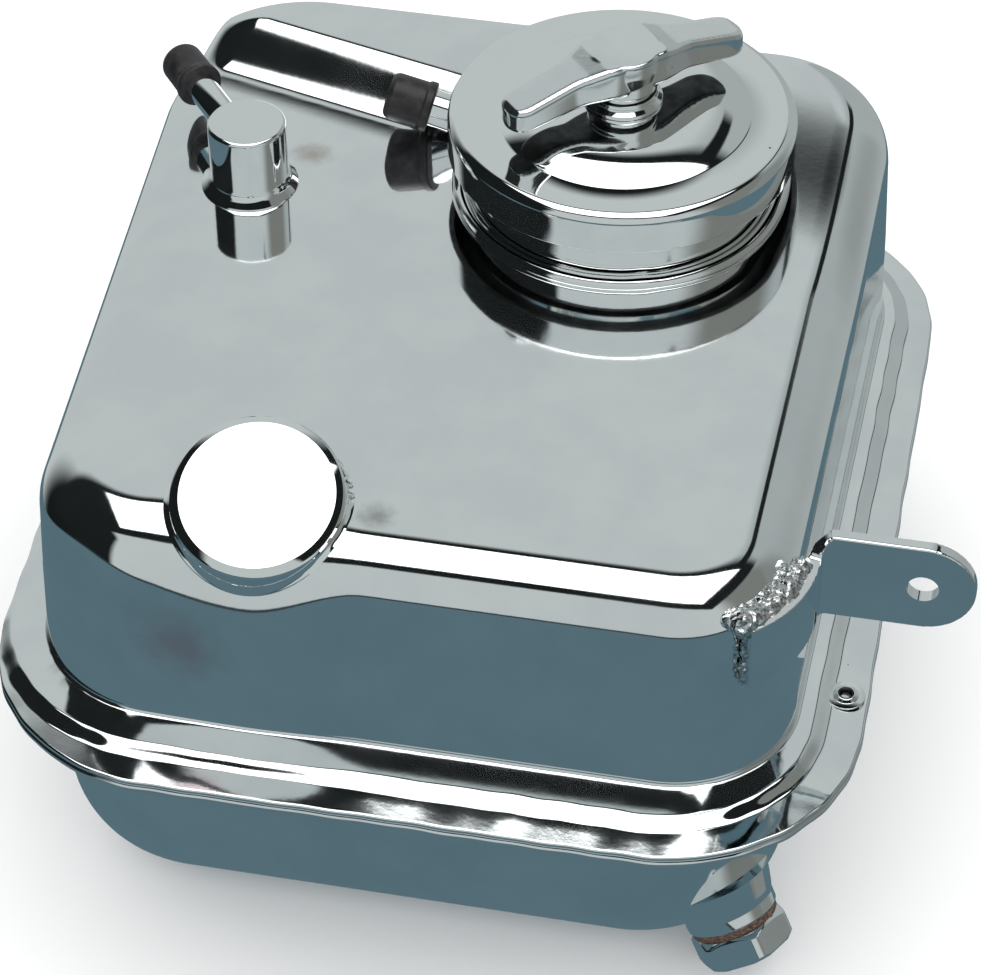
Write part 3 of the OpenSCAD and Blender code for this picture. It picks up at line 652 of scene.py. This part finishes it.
def upper_rings():
    """The outside of the upper shell, from the flange's edge to the neck, then back inside."""
    quarter = np.linspace(0, math.pi / 2, 30)
    rings = [flange_ring(1.995, SHEET_T * 0.7), flange_ring(2, SHEET_T * 0.4), flange_ring(1.99, 0.1)]
    rings += [flange_ring(t, 0) for t in np.linspace(1.975, 1, 60)]
    rings += [flange_ring(1 - math.sin(a), 0) for a in np.linspace(0, math.pi / 2, 16)[1:-1]]
    foot, middle, top = foot_ring(0, WALL_FILLET), wall_ring(MID_INSET, MID_Z, 0.5), edge_ring(0, 0)
    rings += blended(foot, middle, np.linspace(0, 1, 8)[:-1])
    rings += blended(middle, top, np.linspace(0, 1, 12)[:-1])
    rings += [edge_ring(a, 0) for a in quarter]
    rings += [top_ring(s) for s in np.linspace(0, 1, 60)[1:] ** 1.3]
    rings += [top_ring(s, SHEET_T) for s in (1, 0.8, 0.6, 0.4, 0.2)]
    rings += [edge_ring(a, SHEET_T) for a in quarter[::-4]]
    rings += [wall_ring(MID_INSET + SHEET_T, MID_Z, 0.5), foot_ring(SHEET_T, 2.5), foot_ring(0.5, -0.2)]
    rings += [flange_ring(t, SHEET_T) for t in (1, 1.3, 1.5, 1.6, 1.76, 1.85, 1.985)]
    return rings


def upper_shell():
    points, faces = skin(upper_rings(), closed=True)
    return add_piece("shell_upper", points, faces, "tank", "chrome_plate",
                     materials["chrome_plate"], ["upper_shell"])


def lower_ring(inset, z):
    return np.column_stack([outline(LOWER, LOWER_R, inset), np.full(RING, z)])


def lower_shell():
    lip, lip_drop = 1.5, SHEET_T + SEAM_GAP
    under, lip_z, round_z = lip_drop + SHEET_T, LAND_Z - 8, FLOOR_Z + BOTTOM_EDGE_R
    lean = (round_z - lip_z) * -math.tan(LOWER_DRAFT)

    def bowl(a, t):
        radius = BOTTOM_EDGE_R - t
        return lower_ring(lip + lean + t + 0.93 * radius * (1 - math.cos(a)), round_z - radius * math.sin(a))

    def floor(share, z):
        p = outline(LOWER, LOWER_R, lip + lean + 0.93 * BOTTOM_EDGE_R)
        return np.column_stack([mix(p, np.array([-26, -41]), share), np.full(RING, z)])

    rings = [floor(s, FLOOR_Z) for s in np.linspace(0.95, 0.1, 8)]
    rings += [bowl(a, 0) for a in np.linspace(math.pi / 2, 0, 24)]
    rings += [lower_ring(lip + lean * s, mix(lip_z, round_z, s)) for s in np.linspace(1, 0, 10)[1:]]
    rings += [lower_ring(0.6, LAND_Z - under - 2)]
    rings += [under_ring(t, under) for t in np.linspace(0.1, 0.985, 24)]
    rings += [under_ring(1, under - 0.4 * SHEET_T)]
    rings += [under_ring(t, lip_drop) for t in (0.99, 0.82, 0.7, 0.6, 0.5, 0.3, 0.1)]
    rings += [lower_ring(SHEET_T + 0.5, LAND_Z - lip_drop - 1.5), lower_ring(lip + SHEET_T, lip_z)]
    rings += [bowl(a, SHEET_T) for a in np.linspace(0, math.pi / 2, 10)]
    rings += [floor(s, FLOOR_Z + SHEET_T) for s in (0.1, 0.5, 0.95)]
    points, faces = drilled(skin(rings), DRAIN_AT, DRAIN_DIR, DRAIN_THREAD_D / 2 + 0.1, 14)
    return add_piece("shell_lower", points, faces, "tank", "chrome_plate",
                     materials["chrome_plate"], ["lower_shell"])


def seam():
    """The weld between the sheets: it dips in and stands out along the edge."""
    inner = [flange_ring(t, SHEET_T - 0.05) for t in (1.6, 1.85, 1.95)]
    outer = [flange_ring(t, SHEET_T + SEAM_GAP + 0.05) for t in (1.95, 1.85, 1.6)]
    points, faces = skin(inner + outer, closed=True)
    return add_piece("seam_bead", points, faces, "tank", "weld_plate", materials["weld_plate"],
                     ["seam_weld"])


# ---- Filler neck and cap ---------------------------------------------------------------------

def filler_neck():
    r = NECK_D / 2
    profile = round_profile([(r - 1.5, -9, 0), (r, -9, 0.3), (r, 10, 1), (r + 1.6, 13.4, 1),
                             (r + 0.9, 16.3, 0.8), (r - 1.6, 16.3, 0.6), (r - 1.5, 13, 0),
                             (r - 1.5, -9, 0)], 6)
    return add_piece("neck", *lathe(profile[:-1], 192, closed=True), "tank", "cap_chrome",
                     materials["cap_chrome"], ["filler_neck"], 35)


def neck_bead():
    """The irregular bead round the foot of the neck, which climbs the raised part."""
    count = 360
    a = np.linspace(0, 2 * math.pi, count, endpoint=False)
    out = np.column_stack([np.cos(a), np.sin(a)])
    ripple = 0.05 * ring_noise(count, 8, range(5, 40, 4))
    height = np.minimum(raised((NECK_D / 2 + 1.6) * out), 7.4) + 0.5 + 0.5 * ripple
    rings = []
    for turn in np.linspace(0, 2 * math.pi, 18, endpoint=False):
        radius = NECK_D / 2 + 1.5 + (1.7 + ripple) * math.cos(turn)
        rings.append(np.column_stack([radius[:, None] * out, height - (1.5 + ripple) * math.sin(turn)]))
    return add_piece("neck_bead", *skin(rings, closed=True), "tank", "weld_plate",
                     materials["cap_chrome"], ["neck_weld"])


def cap():
    r, top = CAP_D / 2, CAP_Z + CAP_H
    dome = [(mix(DOME_FOOT, 15.5, t), top + DOME_H * (1 - (1 - t) ** 2)) for t in np.linspace(0, 1, 24)]
    rim = round_profile([(r - 1.2, CAP_Z, 0), (r, CAP_Z, 0.35), (r, top, 2.6), (DOME_FOOT, top, 0)], 14)
    inside = [(15.0, top + DOME_H), (4.1, top + DOME_H), (4.1, top + DOME_H - 1.2),
              (15.5, top + DOME_H - 1.2), (DOME_FOOT - 0.8, top - 1.2), (r - 3, top - 1.2),
              (r - 1.2, top - 3)]
    profile = np.vstack([rim[:-1], dome, inside])
    piece = add_piece("cap_shell", *lathe(profile, 256, closed=True), "filler_cap", "cap_chrome",
                      materials["cap_chrome"], ["cap_cover"], 40)
    axis = Vector(place((0, 0, 0)))
    # The cap's underside and the inside of its skirt get the dark plating as painted shade.
    shaded_side(piece, lambda centre, normal: normal.z < -0.3 or normal.xy.dot((centre - axis).xy) < -1e-4)
    return piece


def rounded_section(width, low, high, bevel, count=8):
    """A closed section across the wing: (across, height) points of a rounded rectangle."""
    bevel = min(bevel, width * 0.95, (high - low) * 0.48)
    rows = []
    for k, (sx, sz) in enumerate([(1, 1), (-1, 1), (-1, -1), (1, -1)]):
        cx, cz = sx * (width - bevel), (high - bevel if sz > 0 else low + bevel)
        for a in np.linspace(k * math.pi / 2, (k + 1) * math.pi / 2, count):
            rows.append([cx + bevel * math.cos(a), cz + bevel * math.sin(a)])
    return np.array(rows)


def shaded_side(piece, chosen):
    """Gives the faces out of sight under the cap and the wing the dull dark plating, which paints the shade
    that falls there.
    """
    piece.data.materials.append(materials["dull_shaded_plate"])
    for face in piece.data.polygons:
        if chosen(face.center, face.normal):
            face.material_index = 1


def wing():
    """The wing handle: sections swept along the wings, fused to the hub and its short column."""
    hub_top, wing_half, tip_r = 36.4, 4.6, 4.6
    heights_at = [-WING_REACH, -WING_REACH + 1.2, -24, -11, -7, 7, 11, 24, WING_REACH - 1.2, WING_REACH]
    top_at = [30.8, 31.6, 32.4, 35.2, hub_top, hub_top, 35.2, 32.4, 31.6, 30.8]
    low_at = [26.3, 26.2, 26.4, 28.2, 28.6, 28.6, 28.2, 26.4, 26.2, 26.3]
    sections = []
    for x in np.sin(np.linspace(-math.pi / 2, math.pi / 2, 120)) * WING_REACH:
        past = max(0.0, abs(x) - (WING_REACH - tip_r))
        tip = max(0.0, 1 - (past / tip_r) ** 2.6) ** (1 / 2.6)
        width = max(0.4, (wing_half + 2.4 * smooth((15 - abs(x)) / 10)) * tip)
        low, high = np.interp(x, heights_at, low_at), np.interp(x, heights_at, top_at)
        section = rounded_section(width, low, high, 1.3)
        sections.append(np.column_stack([np.full(len(section), x), section]))
    hub = lathe(round_profile([(0, 27.0, 0), (7.5, 27.0, 0.3), (7.5, 30.0, 2.0), (8.0, 33.0, 1.0),
                               (8.0, hub_top, 0.7), (0, hub_top, 0)]), 96)
    points, faces = fused(joined(skin(sections), hub), 0.28, 5)
    turn = Matrix.Rotation(WING_TURN, 3, "Z")
    piece = add_piece("wing_casting", *moved((points, faces), matrix=turn), "wing_handle", "cast_chrome",
                      materials["cast_chrome"], ["cap_handle"])
    # The wing's undersides get the dark plating as painted shade.
    shaded_side(piece, lambda centre, normal: normal.z < -0.6)
    return piece


def collar():
    """The washer and flared base that the handle turns on."""
    profile = round_profile([(4.1, 23.0, 0), (8.6, 23.0, 0.2), (8.6, 23.7, 0.5), (7.3, 24.6, 0.8),
                             (7.3, 25.7, 0.2), (6.4, 25.8, 0.1), (6.4, 26.9, 0.1), (4.1, 26.9, 0)], 6)
    return add_piece("cap_collar", *lathe(profile, 128, closed=True), "filler_cap", "cast_chrome",
                     materials["cap_chrome"], ["thrust_collar"], 40)


# ---- Vent and overflow -----------------------------------------------------------------------

def turret():
    r = VENT_D / 2
    profile = round_profile([(0, -1, 0), (r + 2.2, -1, 0), (r + 2.1, 0.25, 0.5), (r, 2.1, 2.6),
                             (r, VENT_H, 0.9), (0, VENT_H, 0)], 10)
    shape = moved(lathe(profile, 160), at=(*VENT_AT, 0))
    return add_piece("vent_body", *shape, "tank", "chrome_plate", materials["cap_chrome"],
                     ["vent_turret", "vent_weld"], 40)


def turned_piece(name, profile, at, direction, body, slot, material, replaces, count=96):
    shape = moved(lathe(profile, count, closed=True), at=at, matrix=along(direction))
    return add_piece(name, *shape, body, slot, material, replaces, 40)


def tube_profile(d_out, d_in, start, end):
    return round_profile([(d_in / 2, start, 0), (d_out / 2, start, 0.1), (d_out / 2, end, 0.3),
                          (d_in / 2, end, 0)], 3)


def blind_profile(d_out, d_in, start, length, floor):
    """A rubber cap pushed over a tube, with a slight bead at its mouth."""
    r, end = d_out / 2, start + length
    return round_profile([(d_in / 2, start, 0), (r + 0.3, start, 0.5), (r + 0.25, start + 1.6, 0.6),
                          (r - 0.1, start + 2.2, 0.8), (r - 0.15, end, 1.8), (0.001, end, 0),
                          (0.001, end - floor, 0), (d_in / 2, end - floor, 0)], 8)


def vent_parts():
    direction = (math.cos(VENT_YAW), math.sin(VENT_YAW), 0)
    at = (*VENT_AT, VENT_TUBE_Z)
    turned_piece("vent_pipe", tube_profile(VENT_TUBE_D, VENT_TUBE_D - 2, 5.7, 34), at, direction, "tank",
                 "chrome_plate", materials["cap_chrome"], ["vent_tube"])
    profile = blind_profile(VENT_TUBE_D + 3, VENT_TUBE_D + 0.02, 24.6, 11.4, 1.9)
    turned_piece("vent_cap", profile, at, direction, "vent_stopper", "cap_rubber",
                 materials["cap_rubber"], ["vent_rubber_cap"])


def overflow_parts():
    direction = (-math.cos(OVERFLOW_TILT), 0, math.sin(OVERFLOW_TILT))
    turned_piece("overflow_pipe", tube_profile(OVERFLOW_D, OVERFLOW_D - 2, -2.5, 22), OVERFLOW_AT, direction,
                 "tank", "chrome_plate", materials["cap_chrome"], ["overflow_tube"])
    turned_piece("overflow_cap", blind_profile(OVERFLOW_D + 2.4, OVERFLOW_D + 0.02, 13.8, 10.2, 1.9),
                 OVERFLOW_AT, direction, "overflow_stopper", "cap_rubber", materials["cap_rubber"],
                 ["overflow_rubber_cap"])


# ---- Blanking cup ----------------------------------------------------------------------------

def boss_turn():
    return Matrix.Rotation(BOSS_YAW, 3, "Z") @ Matrix.Rotation(BOSS_TILT, 3, "X")


def boss():
    r = BOSS_D / 2
    profile = round_profile([(0, -BOSS_DEPTH, 0), (r, -BOSS_DEPTH, 0), (r, -1.0, 0.8), (r - 0.5, -0.55, 0.4),
                             (r - 1.9, 0.0, 0.4), (0, 0.0, 0)], 8)
    shape = moved(lathe(profile, 192), BOSS_AT, boss_turn())
    return add_piece("blanking_cup", *shape, "tank", "chrome_plate", materials["cap_chrome"],
                     ["front_boss"], 40)


def shell_depth(tree, turn, a, radius):
    """How far the shell lies below the cup's face, along its axis, at that radius."""
    down = -turn.col[2]
    depth = []
    for angle in a:
        start = Vector(BOSS_AT) + turn @ Vector((radius * math.cos(angle), radius * math.sin(angle), 2))
        hit = tree.ray_cast(start, down, 40)
        depth.append(2 - hit[3] if hit[0] else depth[-1])
    return np.array(depth)


def boss_bead():
    """A smooth fillet of weld between the cup's side and the shell, with a crease on its right."""
    count, r, turn = 240, BOSS_D / 2, boss_turn()
    points, faces = skin(upper_rings(), closed=True)
    tree = BVHTree.FromPolygons(points.tolist(), faces)
    a = np.linspace(0, 2 * math.pi, count, endpoint=False)
    ripple = 0.12 * ring_noise(count, 21, range(7, 60, 3))
    near, far = shell_depth(tree, turn, a, r + 0.1), shell_depth(tree, turn, a, r + 1.5)
    crease = 0.5 * smooth(1 - np.abs(a - 0.25) / 0.3) * np.sin(a * 40)
    section = [(-0.4, near + 1.1), (0.05, near + 1.1 + ripple), (0.22, near + 0.6 + ripple + crease),
               (0.6, mix(near, far, 0.4) + 0.25 + crease), (1.1, mix(near, far, 0.75) + 0.1),
               (1.5, far - 0.05), (1.5, far - 1.0), (-0.4, near - 1.0)]
    rings = [np.column_stack([(r + out) * np.cos(a), (r + out) * np.sin(a), z]) for out, z in section]
    return add_piece("cup_bead", *moved(skin(rings, closed=True), BOSS_AT, turn), "tank", "weld_plate",
                     materials["cap_chrome"], ["boss_weld"], 60)


# ---- Bracket ---------------------------------------------------------------------------------

def strip(path, half_t, low, high):
    """A flat strip on edge along a plan path, from low to high, with square edges."""
    d = np.gradient(path, axis=0)
    d = d / np.linalg.norm(d, axis=1)[:, None]
    side = np.column_stack([d[:, 1], -d[:, 0]]) * half_t
    rings = []
    for p, s, lo, hi in zip(path, side, low, high):
        rings.append(np.array([[*(p + s), lo], [*(p + s), hi], [*(p - s), hi], [*(p - s), lo]]))
    return skin(rings)


def bracket():
    corner = np.array([RIGHT_REACH - WALL_R[1], -FRONT_REACH + WALL_R[1]])
    leg_r = WALL_R[1] + 0.15 + BRACKET_T / 2
    bend_r = 2.8
    low = BRACKET_HOLE[2] - TAB_H / 2
    leg_a = np.radians(np.linspace(-50, 0, 40))
    leg = corner + leg_r * np.column_stack([np.cos(leg_a), np.sin(leg_a)])
    bend_a = np.radians(np.linspace(180, 90, 16)[1:])
    bend = corner + [leg_r + bend_r, 0] + bend_r * np.column_stack([np.cos(bend_a), np.sin(bend_a)])
    end_x = BRACKET_HOLE[0]
    tab = np.array([[x, bend[-1][1]] for x in np.linspace(bend[-1][0], end_x, 8)[1:]])
    path = np.vstack([leg, bend, tab])
    high = low + np.concatenate([np.full(len(leg), TAB_H - 5), np.linspace(TAB_H - 5, TAB_H, len(bend)),
                                 np.full(len(tab), TAB_H)])
    body = strip(path, BRACKET_T / 2, np.full(len(path), low), high)
    disc = moved(lathe([(0, -BRACKET_T / 2), (TAB_H / 2, -BRACKET_T / 2), (TAB_H / 2, BRACKET_T / 2),
                        (0, BRACKET_T / 2)], 96),
                 (end_x, bend[-1][1], BRACKET_HOLE[2]), along((0, 1, 0)))
    return joined(body, disc)


def bracket_parts():
    points, faces = fused(bracket(), 0.3, 3)
    points, faces = drilled((points, faces), BRACKET_HOLE, (0, 1, 0), BRACKET_HOLE_D / 2, 6)
    add_piece("bracket_plate", points, faces, "tank", "chrome_plate", materials["chrome_plate"],
              ["mounting_bracket"], 40)
    bracket_bead()


def drop(at, radius):
    arc = [(radius * math.sin(a), -radius * math.cos(a)) for a in np.linspace(0, math.pi, 12)]
    return moved(lathe(arc, 20), at)


def bracket_bead():
    """Overlapping drops of weld along the top and the front edge of the bracket's leg."""
    corner = np.array([RIGHT_REACH - WALL_R[1], -FRONT_REACH + WALL_R[1]])
    rng = np.random.default_rng(4)
    top = BRACKET_HOLE[2] + TAB_H / 2 - 5.6
    drops = []

    def lump(a, out, z, radius):
        r = WALL_R[1] + out
        drops.append(drop((*(corner + r * np.array([math.cos(a), math.sin(a)])), top + z), radius))

    for a in np.radians(np.linspace(-50, -4, 34)):
        lump(a, -0.6 + rng.uniform(-0.4, 0.4), rng.uniform(-0.6, 0.6), rng.uniform(1.7, 2.4))
    for a in (-50, -48.5, -46.5):
        lump(math.radians(a), -0.3, 0.1, 3.0)
    for z in np.linspace(-2, -15, 20):
        lump(math.radians(-50 + rng.uniform(-0.3, 0.3)), 0.5, z, rng.uniform(0.5, 0.9))
    points, faces = fused(joined(*drops), 0.3, 2)
    points = points + 0.45 * np.column_stack([field(points, 1.1, k) for k in range(3)])
    return add_piece("bracket_bead", points, faces, "tank", "weld_plate", materials["weld_plate"],
                     ["bracket_weld"])


def eyelet():
    r = 1.4
    profile = round_profile([(r - 0.4, -4, 0), (r, -4, 0), (r, 0.1, 0), (r + 2.6, 0.05, 0.05),
                             (r + 2.6, 0.3, 0.2), (r + 1.2, 0.4, 0.3), (r + 0.5, 1.0, 0.4),
                             (r - 0.1, 0.9, 0.3), (r - 0.4, 0.3, 0)], 5)
    shape = moved(lathe(profile, 64, closed=True), (*RIVET_AT, LAND_Z - FLANGE_STEP))
    piece = add_piece("flange_eyelet", *shape, "tank", "chrome_plate", materials["cap_chrome"],
                      ["flange_rivet"], 40)
    axis = Vector(place((*RIVET_AT, 0)))
    # The inside of the eyelet's hole gets the dark plating as painted shade.
    shaded_side(piece, lambda centre, normal: normal.xy.dot((centre - axis).xy) < -2e-4)
    return piece


# ---- Drain -----------------------------------------------------------------------------------

def drain_parts():
    r = DRAIN_BOSS_D / 2
    socket = round_profile([(DRAIN_THREAD_D / 2, -9, 0), (r + 1.6, -9, 0), (r + 0.5, -4.2, 2), (r, -2.6, 1),
                            (r, 0, 0.4), (DRAIN_THREAD_D / 2, 0, 0)], 8)
    turned_piece("drain_socket", socket, DRAIN_AT, DRAIN_DIR, "tank", "chrome_plate",
                 materials["chrome_plate"], ["drain_boss"])
    bore, far_face = DRAIN_THREAD_D / 2 + 0.3, WASHER_T - 0.02
    washer = round_profile([(bore, 0.02, 0), (r - 0.5, 0.02, 0.25), (r - 0.5, far_face, 0.25),
                            (bore, far_face, 0)], 3)
    turned_piece("drain_seal", washer, DRAIN_AT, DRAIN_DIR, "drain_washer", "washer_fibre",
                 materials["washer_fibre"], ["drain_washer"])
    hexagon_plug()


def hexagon_plug():
    count, flat = 144, DRAIN_HEX / 2
    a = np.linspace(0, 2 * math.pi, count, endpoint=False)
    wrapped = (a + math.pi / 6) % (math.pi / 3) - math.pi / 6
    hexagon = flat / np.cos(wrapped)
    hexagon = np.minimum(hexagon, flat / math.cos(math.pi / 6) - 0.35)
    chamfer = flat + 0.2
    drop_at = np.maximum(0, hexagon - chamfer) * 0.6

    def ring(radius, z):
        return np.column_stack([radius * np.cos(a), radius * np.sin(a), z + 0 * a])

    base, top = WASHER_T, WASHER_T + PLUG_HEAD_H
    thread = DRAIN_THREAD_D / 2 - 0.05
    rings = [ring(thread - 1, base - 9 + 0 * a), ring(thread, base - 8.4)]
    rings += [ring(thread - 0.35 * (k % 2), base - 8.4 + 0.4 * k) for k in range(1, 20)]
    rings += [ring(thread, base - 0.05), ring(flat - 0.6, base), ring(hexagon - 0.2, base + 0.5 + drop_at),
              ring(hexagon, base + 0.8 + drop_at), ring(hexagon, top - 0.5 - drop_at),
              ring(hexagon - 0.25, top - 0.2 - drop_at)]
    rings += [ring(np.minimum(hexagon - 0.25, chamfer) - 0.5 * s, top - 0.1 * (1 - s)) for s in (0, 0.5, 1)]
    rings += [ring(5.2, top), ring(5.0, top - 0.3), ring(4.6, top - 1.0)]
    shape = moved(skin(rings), DRAIN_AT, along(DRAIN_DIR) @ Matrix.Rotation(math.radians(20), 3, "Z"))
    return add_piece("drain_hexagon", *shape, "drain_plug", "cast_chrome", materials["cast_chrome"],
                     ["drain_plug"], 30)


# ---- Carried-over nodes ----------------------------------------------------------------------

def finish_carried_nodes():
    """The CAD nodes that stay get their slot's material."""
    by_node = {
        "lock_lugs": "bare_steel", "cap_gasket": "seal_rubber", "gasket_retainer": "bare_steel",
        "handle_pin": "bare_steel", "cap_spindle": "bare_steel", "lock_bar": "bare_steel",
        "spindle_nut": "bare_steel", "feed_outlet": "chrome_plate", "outlet_strainer": "strainer_brass",
        "baffle_plate": "bare_steel", "return_pipe": "bare_steel"}
    for name, slot in by_node.items():
        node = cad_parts[name]
        node.data.materials.clear()
        node.data.materials.append(materials[slot])


# ---- Studio ----------------------------------------------------------------------------------

# The blue-grey of the floor that the plating mirrors
FLOOR_BLUE = (0.095, 0.16, 0.19)


def studio_floor():
    """A plain pale floor under the lowest point of the object."""
    size, low = 3.0, cad_low.z
    mesh = bpy.data.meshes.new("floor")
    mesh.from_pydata([(-size, -size, low), (size, -size, low), (size, size, low), (-size, size, low)], [],
                     [(0, 1, 2, 3)])
    floor = bpy.data.objects.new("floor", mesh)
    bpy.context.scene.collection.objects.link(floor)
    n = new_material("floor_paper")
    shade = n.noise(0.3, 2)
    n.link(n.blend(shade, (0.96, 0.96, 0.96), (0.98, 0.98, 0.98)), n.shader.inputs["Base Color"])
    n.shader.inputs["Roughness"].default_value = 0.9
    mesh.materials.append(n.owner)
    floor.visible_glossy = False


def floor_card():
    """A card just over the flange, lit on top only and the colour of the mirrored floor. The front
    wall mirrors it in place of the flange; the flange itself looks up through it."""
    rows = [k for k in range(RING) if WALL_LINE[k, 1] < -88]
    turns = [k for k in range(1, len(rows)) if rows[k] != rows[k - 1] + 1]
    rows = rows[turns[0]:] + rows[:turns[0]] if turns else rows
    near = np.column_stack([WALL_LINE + 0.8 * FLANGE_OUT, np.full(RING, LAND_Z + 0.7)])[rows]
    far = np.column_stack([FLANGE_LINE + 14 * FLANGE_OUT, np.full(RING, LAND_Z + 0.7)])[rows]
    count = len(rows)
    mesh = bpy.data.meshes.new("floor_card")
    mesh.from_pydata(place(np.vstack([near, far])).tolist(), [],
                     [(k, count + k, count + k + 1, k + 1) for k in range(count - 1)])
    if mesh.polygons[0].normal.z < 0:
        mesh.flip_normals()
    card = bpy.data.objects.new("floor_card", mesh)
    bpy.context.scene.collection.objects.link(card)
    n = new_material("floor_card")
    n.shader.inputs["Base Color"].default_value = (0, 0, 0, 1)
    n.shader.inputs["Specular IOR Level"].default_value = 0
    n.shader.inputs["Emission Color"].default_value = (*FLOOR_BLUE, 1)
    n.shader.inputs["Emission Strength"].default_value = 1.0
    n.link(n.math("SUBTRACT", 1.0, n.add("ShaderNodeNewGeometry").outputs["Backfacing"]),
           n.shader.inputs["Alpha"])
    mesh.materials.append(n.owner)
    card.visible_camera = card.visible_diffuse = card.visible_shadow = False


def studio_world():
    """A room for the plating to mirror: a wide soft light overhead between pale walls, with dark
    gaps, and a blue-grey floor. Everything else is lit evenly."""
    world = bpy.data.worlds.new("studio")
    bpy.context.scene.world = world
    n = Nodes(world, "Background", "Generated")
    maths, blend, ramp = n.math, n.blend, n.ramp
    axes = n.add("ShaderNodeSeparateXYZ")
    n.link(n.coord, axes.inputs[0])
    x, y, z = axes.outputs
    up = maths("MAXIMUM", z, 0.02)
    u, v = maths("DIVIDE", x, up), maths("DIVIDE", y, up)
    around = maths("ARCTAN2", maths("MULTIPLY", x, -1), maths("MULTIPLY", y, -1))
    around = maths("MULTIPLY", around, 180 / math.pi)

    def between(value, low, high, soft):
        return maths("MULTIPLY", ramp(value, low - soft, low + soft),
                     maths("SUBTRACT", 1, ramp(value, high - soft, high + soft)))

    grey, white, black = (0.50, 0.54, 0.54), (1.9, 1.95, 1.95), (0.008, 0.01, 0.01)
    # Pale walls all round, darker to the right; a black screen on the left
    colour = blend(between(around, -130, -62, 12), grey, (0.19, 0.20, 0.185))
    width = maths("SUBTRACT", ramp(around, 33, 39), ramp(around, 106, 132))
    screen = maths("MULTIPLY", width, maths("SUBTRACT", 1, ramp(u, -0.80, -0.64)))
    colour = blend(screen, colour, black)
    shade = maths("MULTIPLY", maths("MULTIPLY", ramp(u, 0.05, 0.32), ramp(v, 0.55, 0.75)), 0.5)
    colour = blend(shade, colour, (0.24, 0.27, 0.27))
    # The dark ceiling round the softbox, with a soft rear edge and a dark gap behind its right side
    front_edge = maths("SUBTRACT", ramp(v, -0.76, -0.70), ramp(v, 0.57, 0.80))
    colour = blend(maths("MULTIPLY", front_edge, between(u, -2.4, 0.80, 0.03)), colour, black)
    gap = maths("SUBTRACT", ramp(v, 0.45, 0.5), ramp(v, 1.15, 1.5))
    colour = blend(maths("MULTIPLY", between(u, 0.33, 0.50, 0.02), gap), colour, black)
    softbox = maths("MULTIPLY", between(v, -0.488, 0.466, 0.008), between(u, -0.50, 0.47, 0.02))
    colour = blend(softbox, colour, white)
    # The blue-grey floor, close in front and lower at the sides and the rear, and in front a thin
    # dark line above its edge
    side = maths("ABSOLUTE", around)
    above = maths("ADD", z, maths("MULTIPLY_ADD", ramp(side, 50, 120), 0.42, 0.05))
    line = maths("MULTIPLY", between(above, 0.0, 0.058, 0.006), maths("SUBTRACT", 1, ramp(side, 50, 90)))
    colour = blend(line, colour, (0.03, 0.04, 0.045))
    colour = blend(ramp(above, 0.0, 0.02), FLOOR_BLUE, colour)
    plain = blend(ramp(z, -0.3, 0.6), (1.25, 1.25, 1.25), (1.35, 1.35, 1.35))
    colour = blend(n.add("ShaderNodeLightPath").outputs["Is Glossy Ray"], plain, colour)
    n.link(colour, n.shader.inputs["Color"])
    n.shader.inputs["Strength"].default_value = 1.0


def camera():
    """The photograph's view: from the front, a little to the right, and well above."""
    distance, turn, height, roll = 800.0, 11.544, 43.15, -0.357
    target = Vector(place((-19.4, -48.45, -49.93)))
    a, e = math.radians(turn), math.radians(height)
    back = Vector((math.sin(a) * math.cos(e), -math.cos(a) * math.cos(e), math.sin(e)))
    lens = bpy.data.cameras.new("camera")
    lens.lens, lens.sensor_width, lens.clip_start, lens.clip_end = 134.75, 36, 0.01, 20
    made = bpy.data.objects.new("camera", lens)
    made.location = target + back * distance * MM
    made.rotation_euler = (back.to_track_quat("Z", "Y").to_matrix()
                           @ Matrix.Rotation(math.radians(roll), 3, "Z")).to_euler()
    bpy.context.scene.collection.objects.link(made)
    bpy.context.scene.camera = made
    bpy.context.scene.view_settings.view_transform = "Standard"


upper_shell()
lower_shell()
seam()
filler_neck()
neck_bead()
cap()
wing()
collar()
turret()
vent_parts()
overflow_parts()
boss()
boss_bead()
bracket_parts()
eyelet()
drain_parts()
finish_carried_nodes()
studio_floor()
floor_card()
studio_world()
camera()
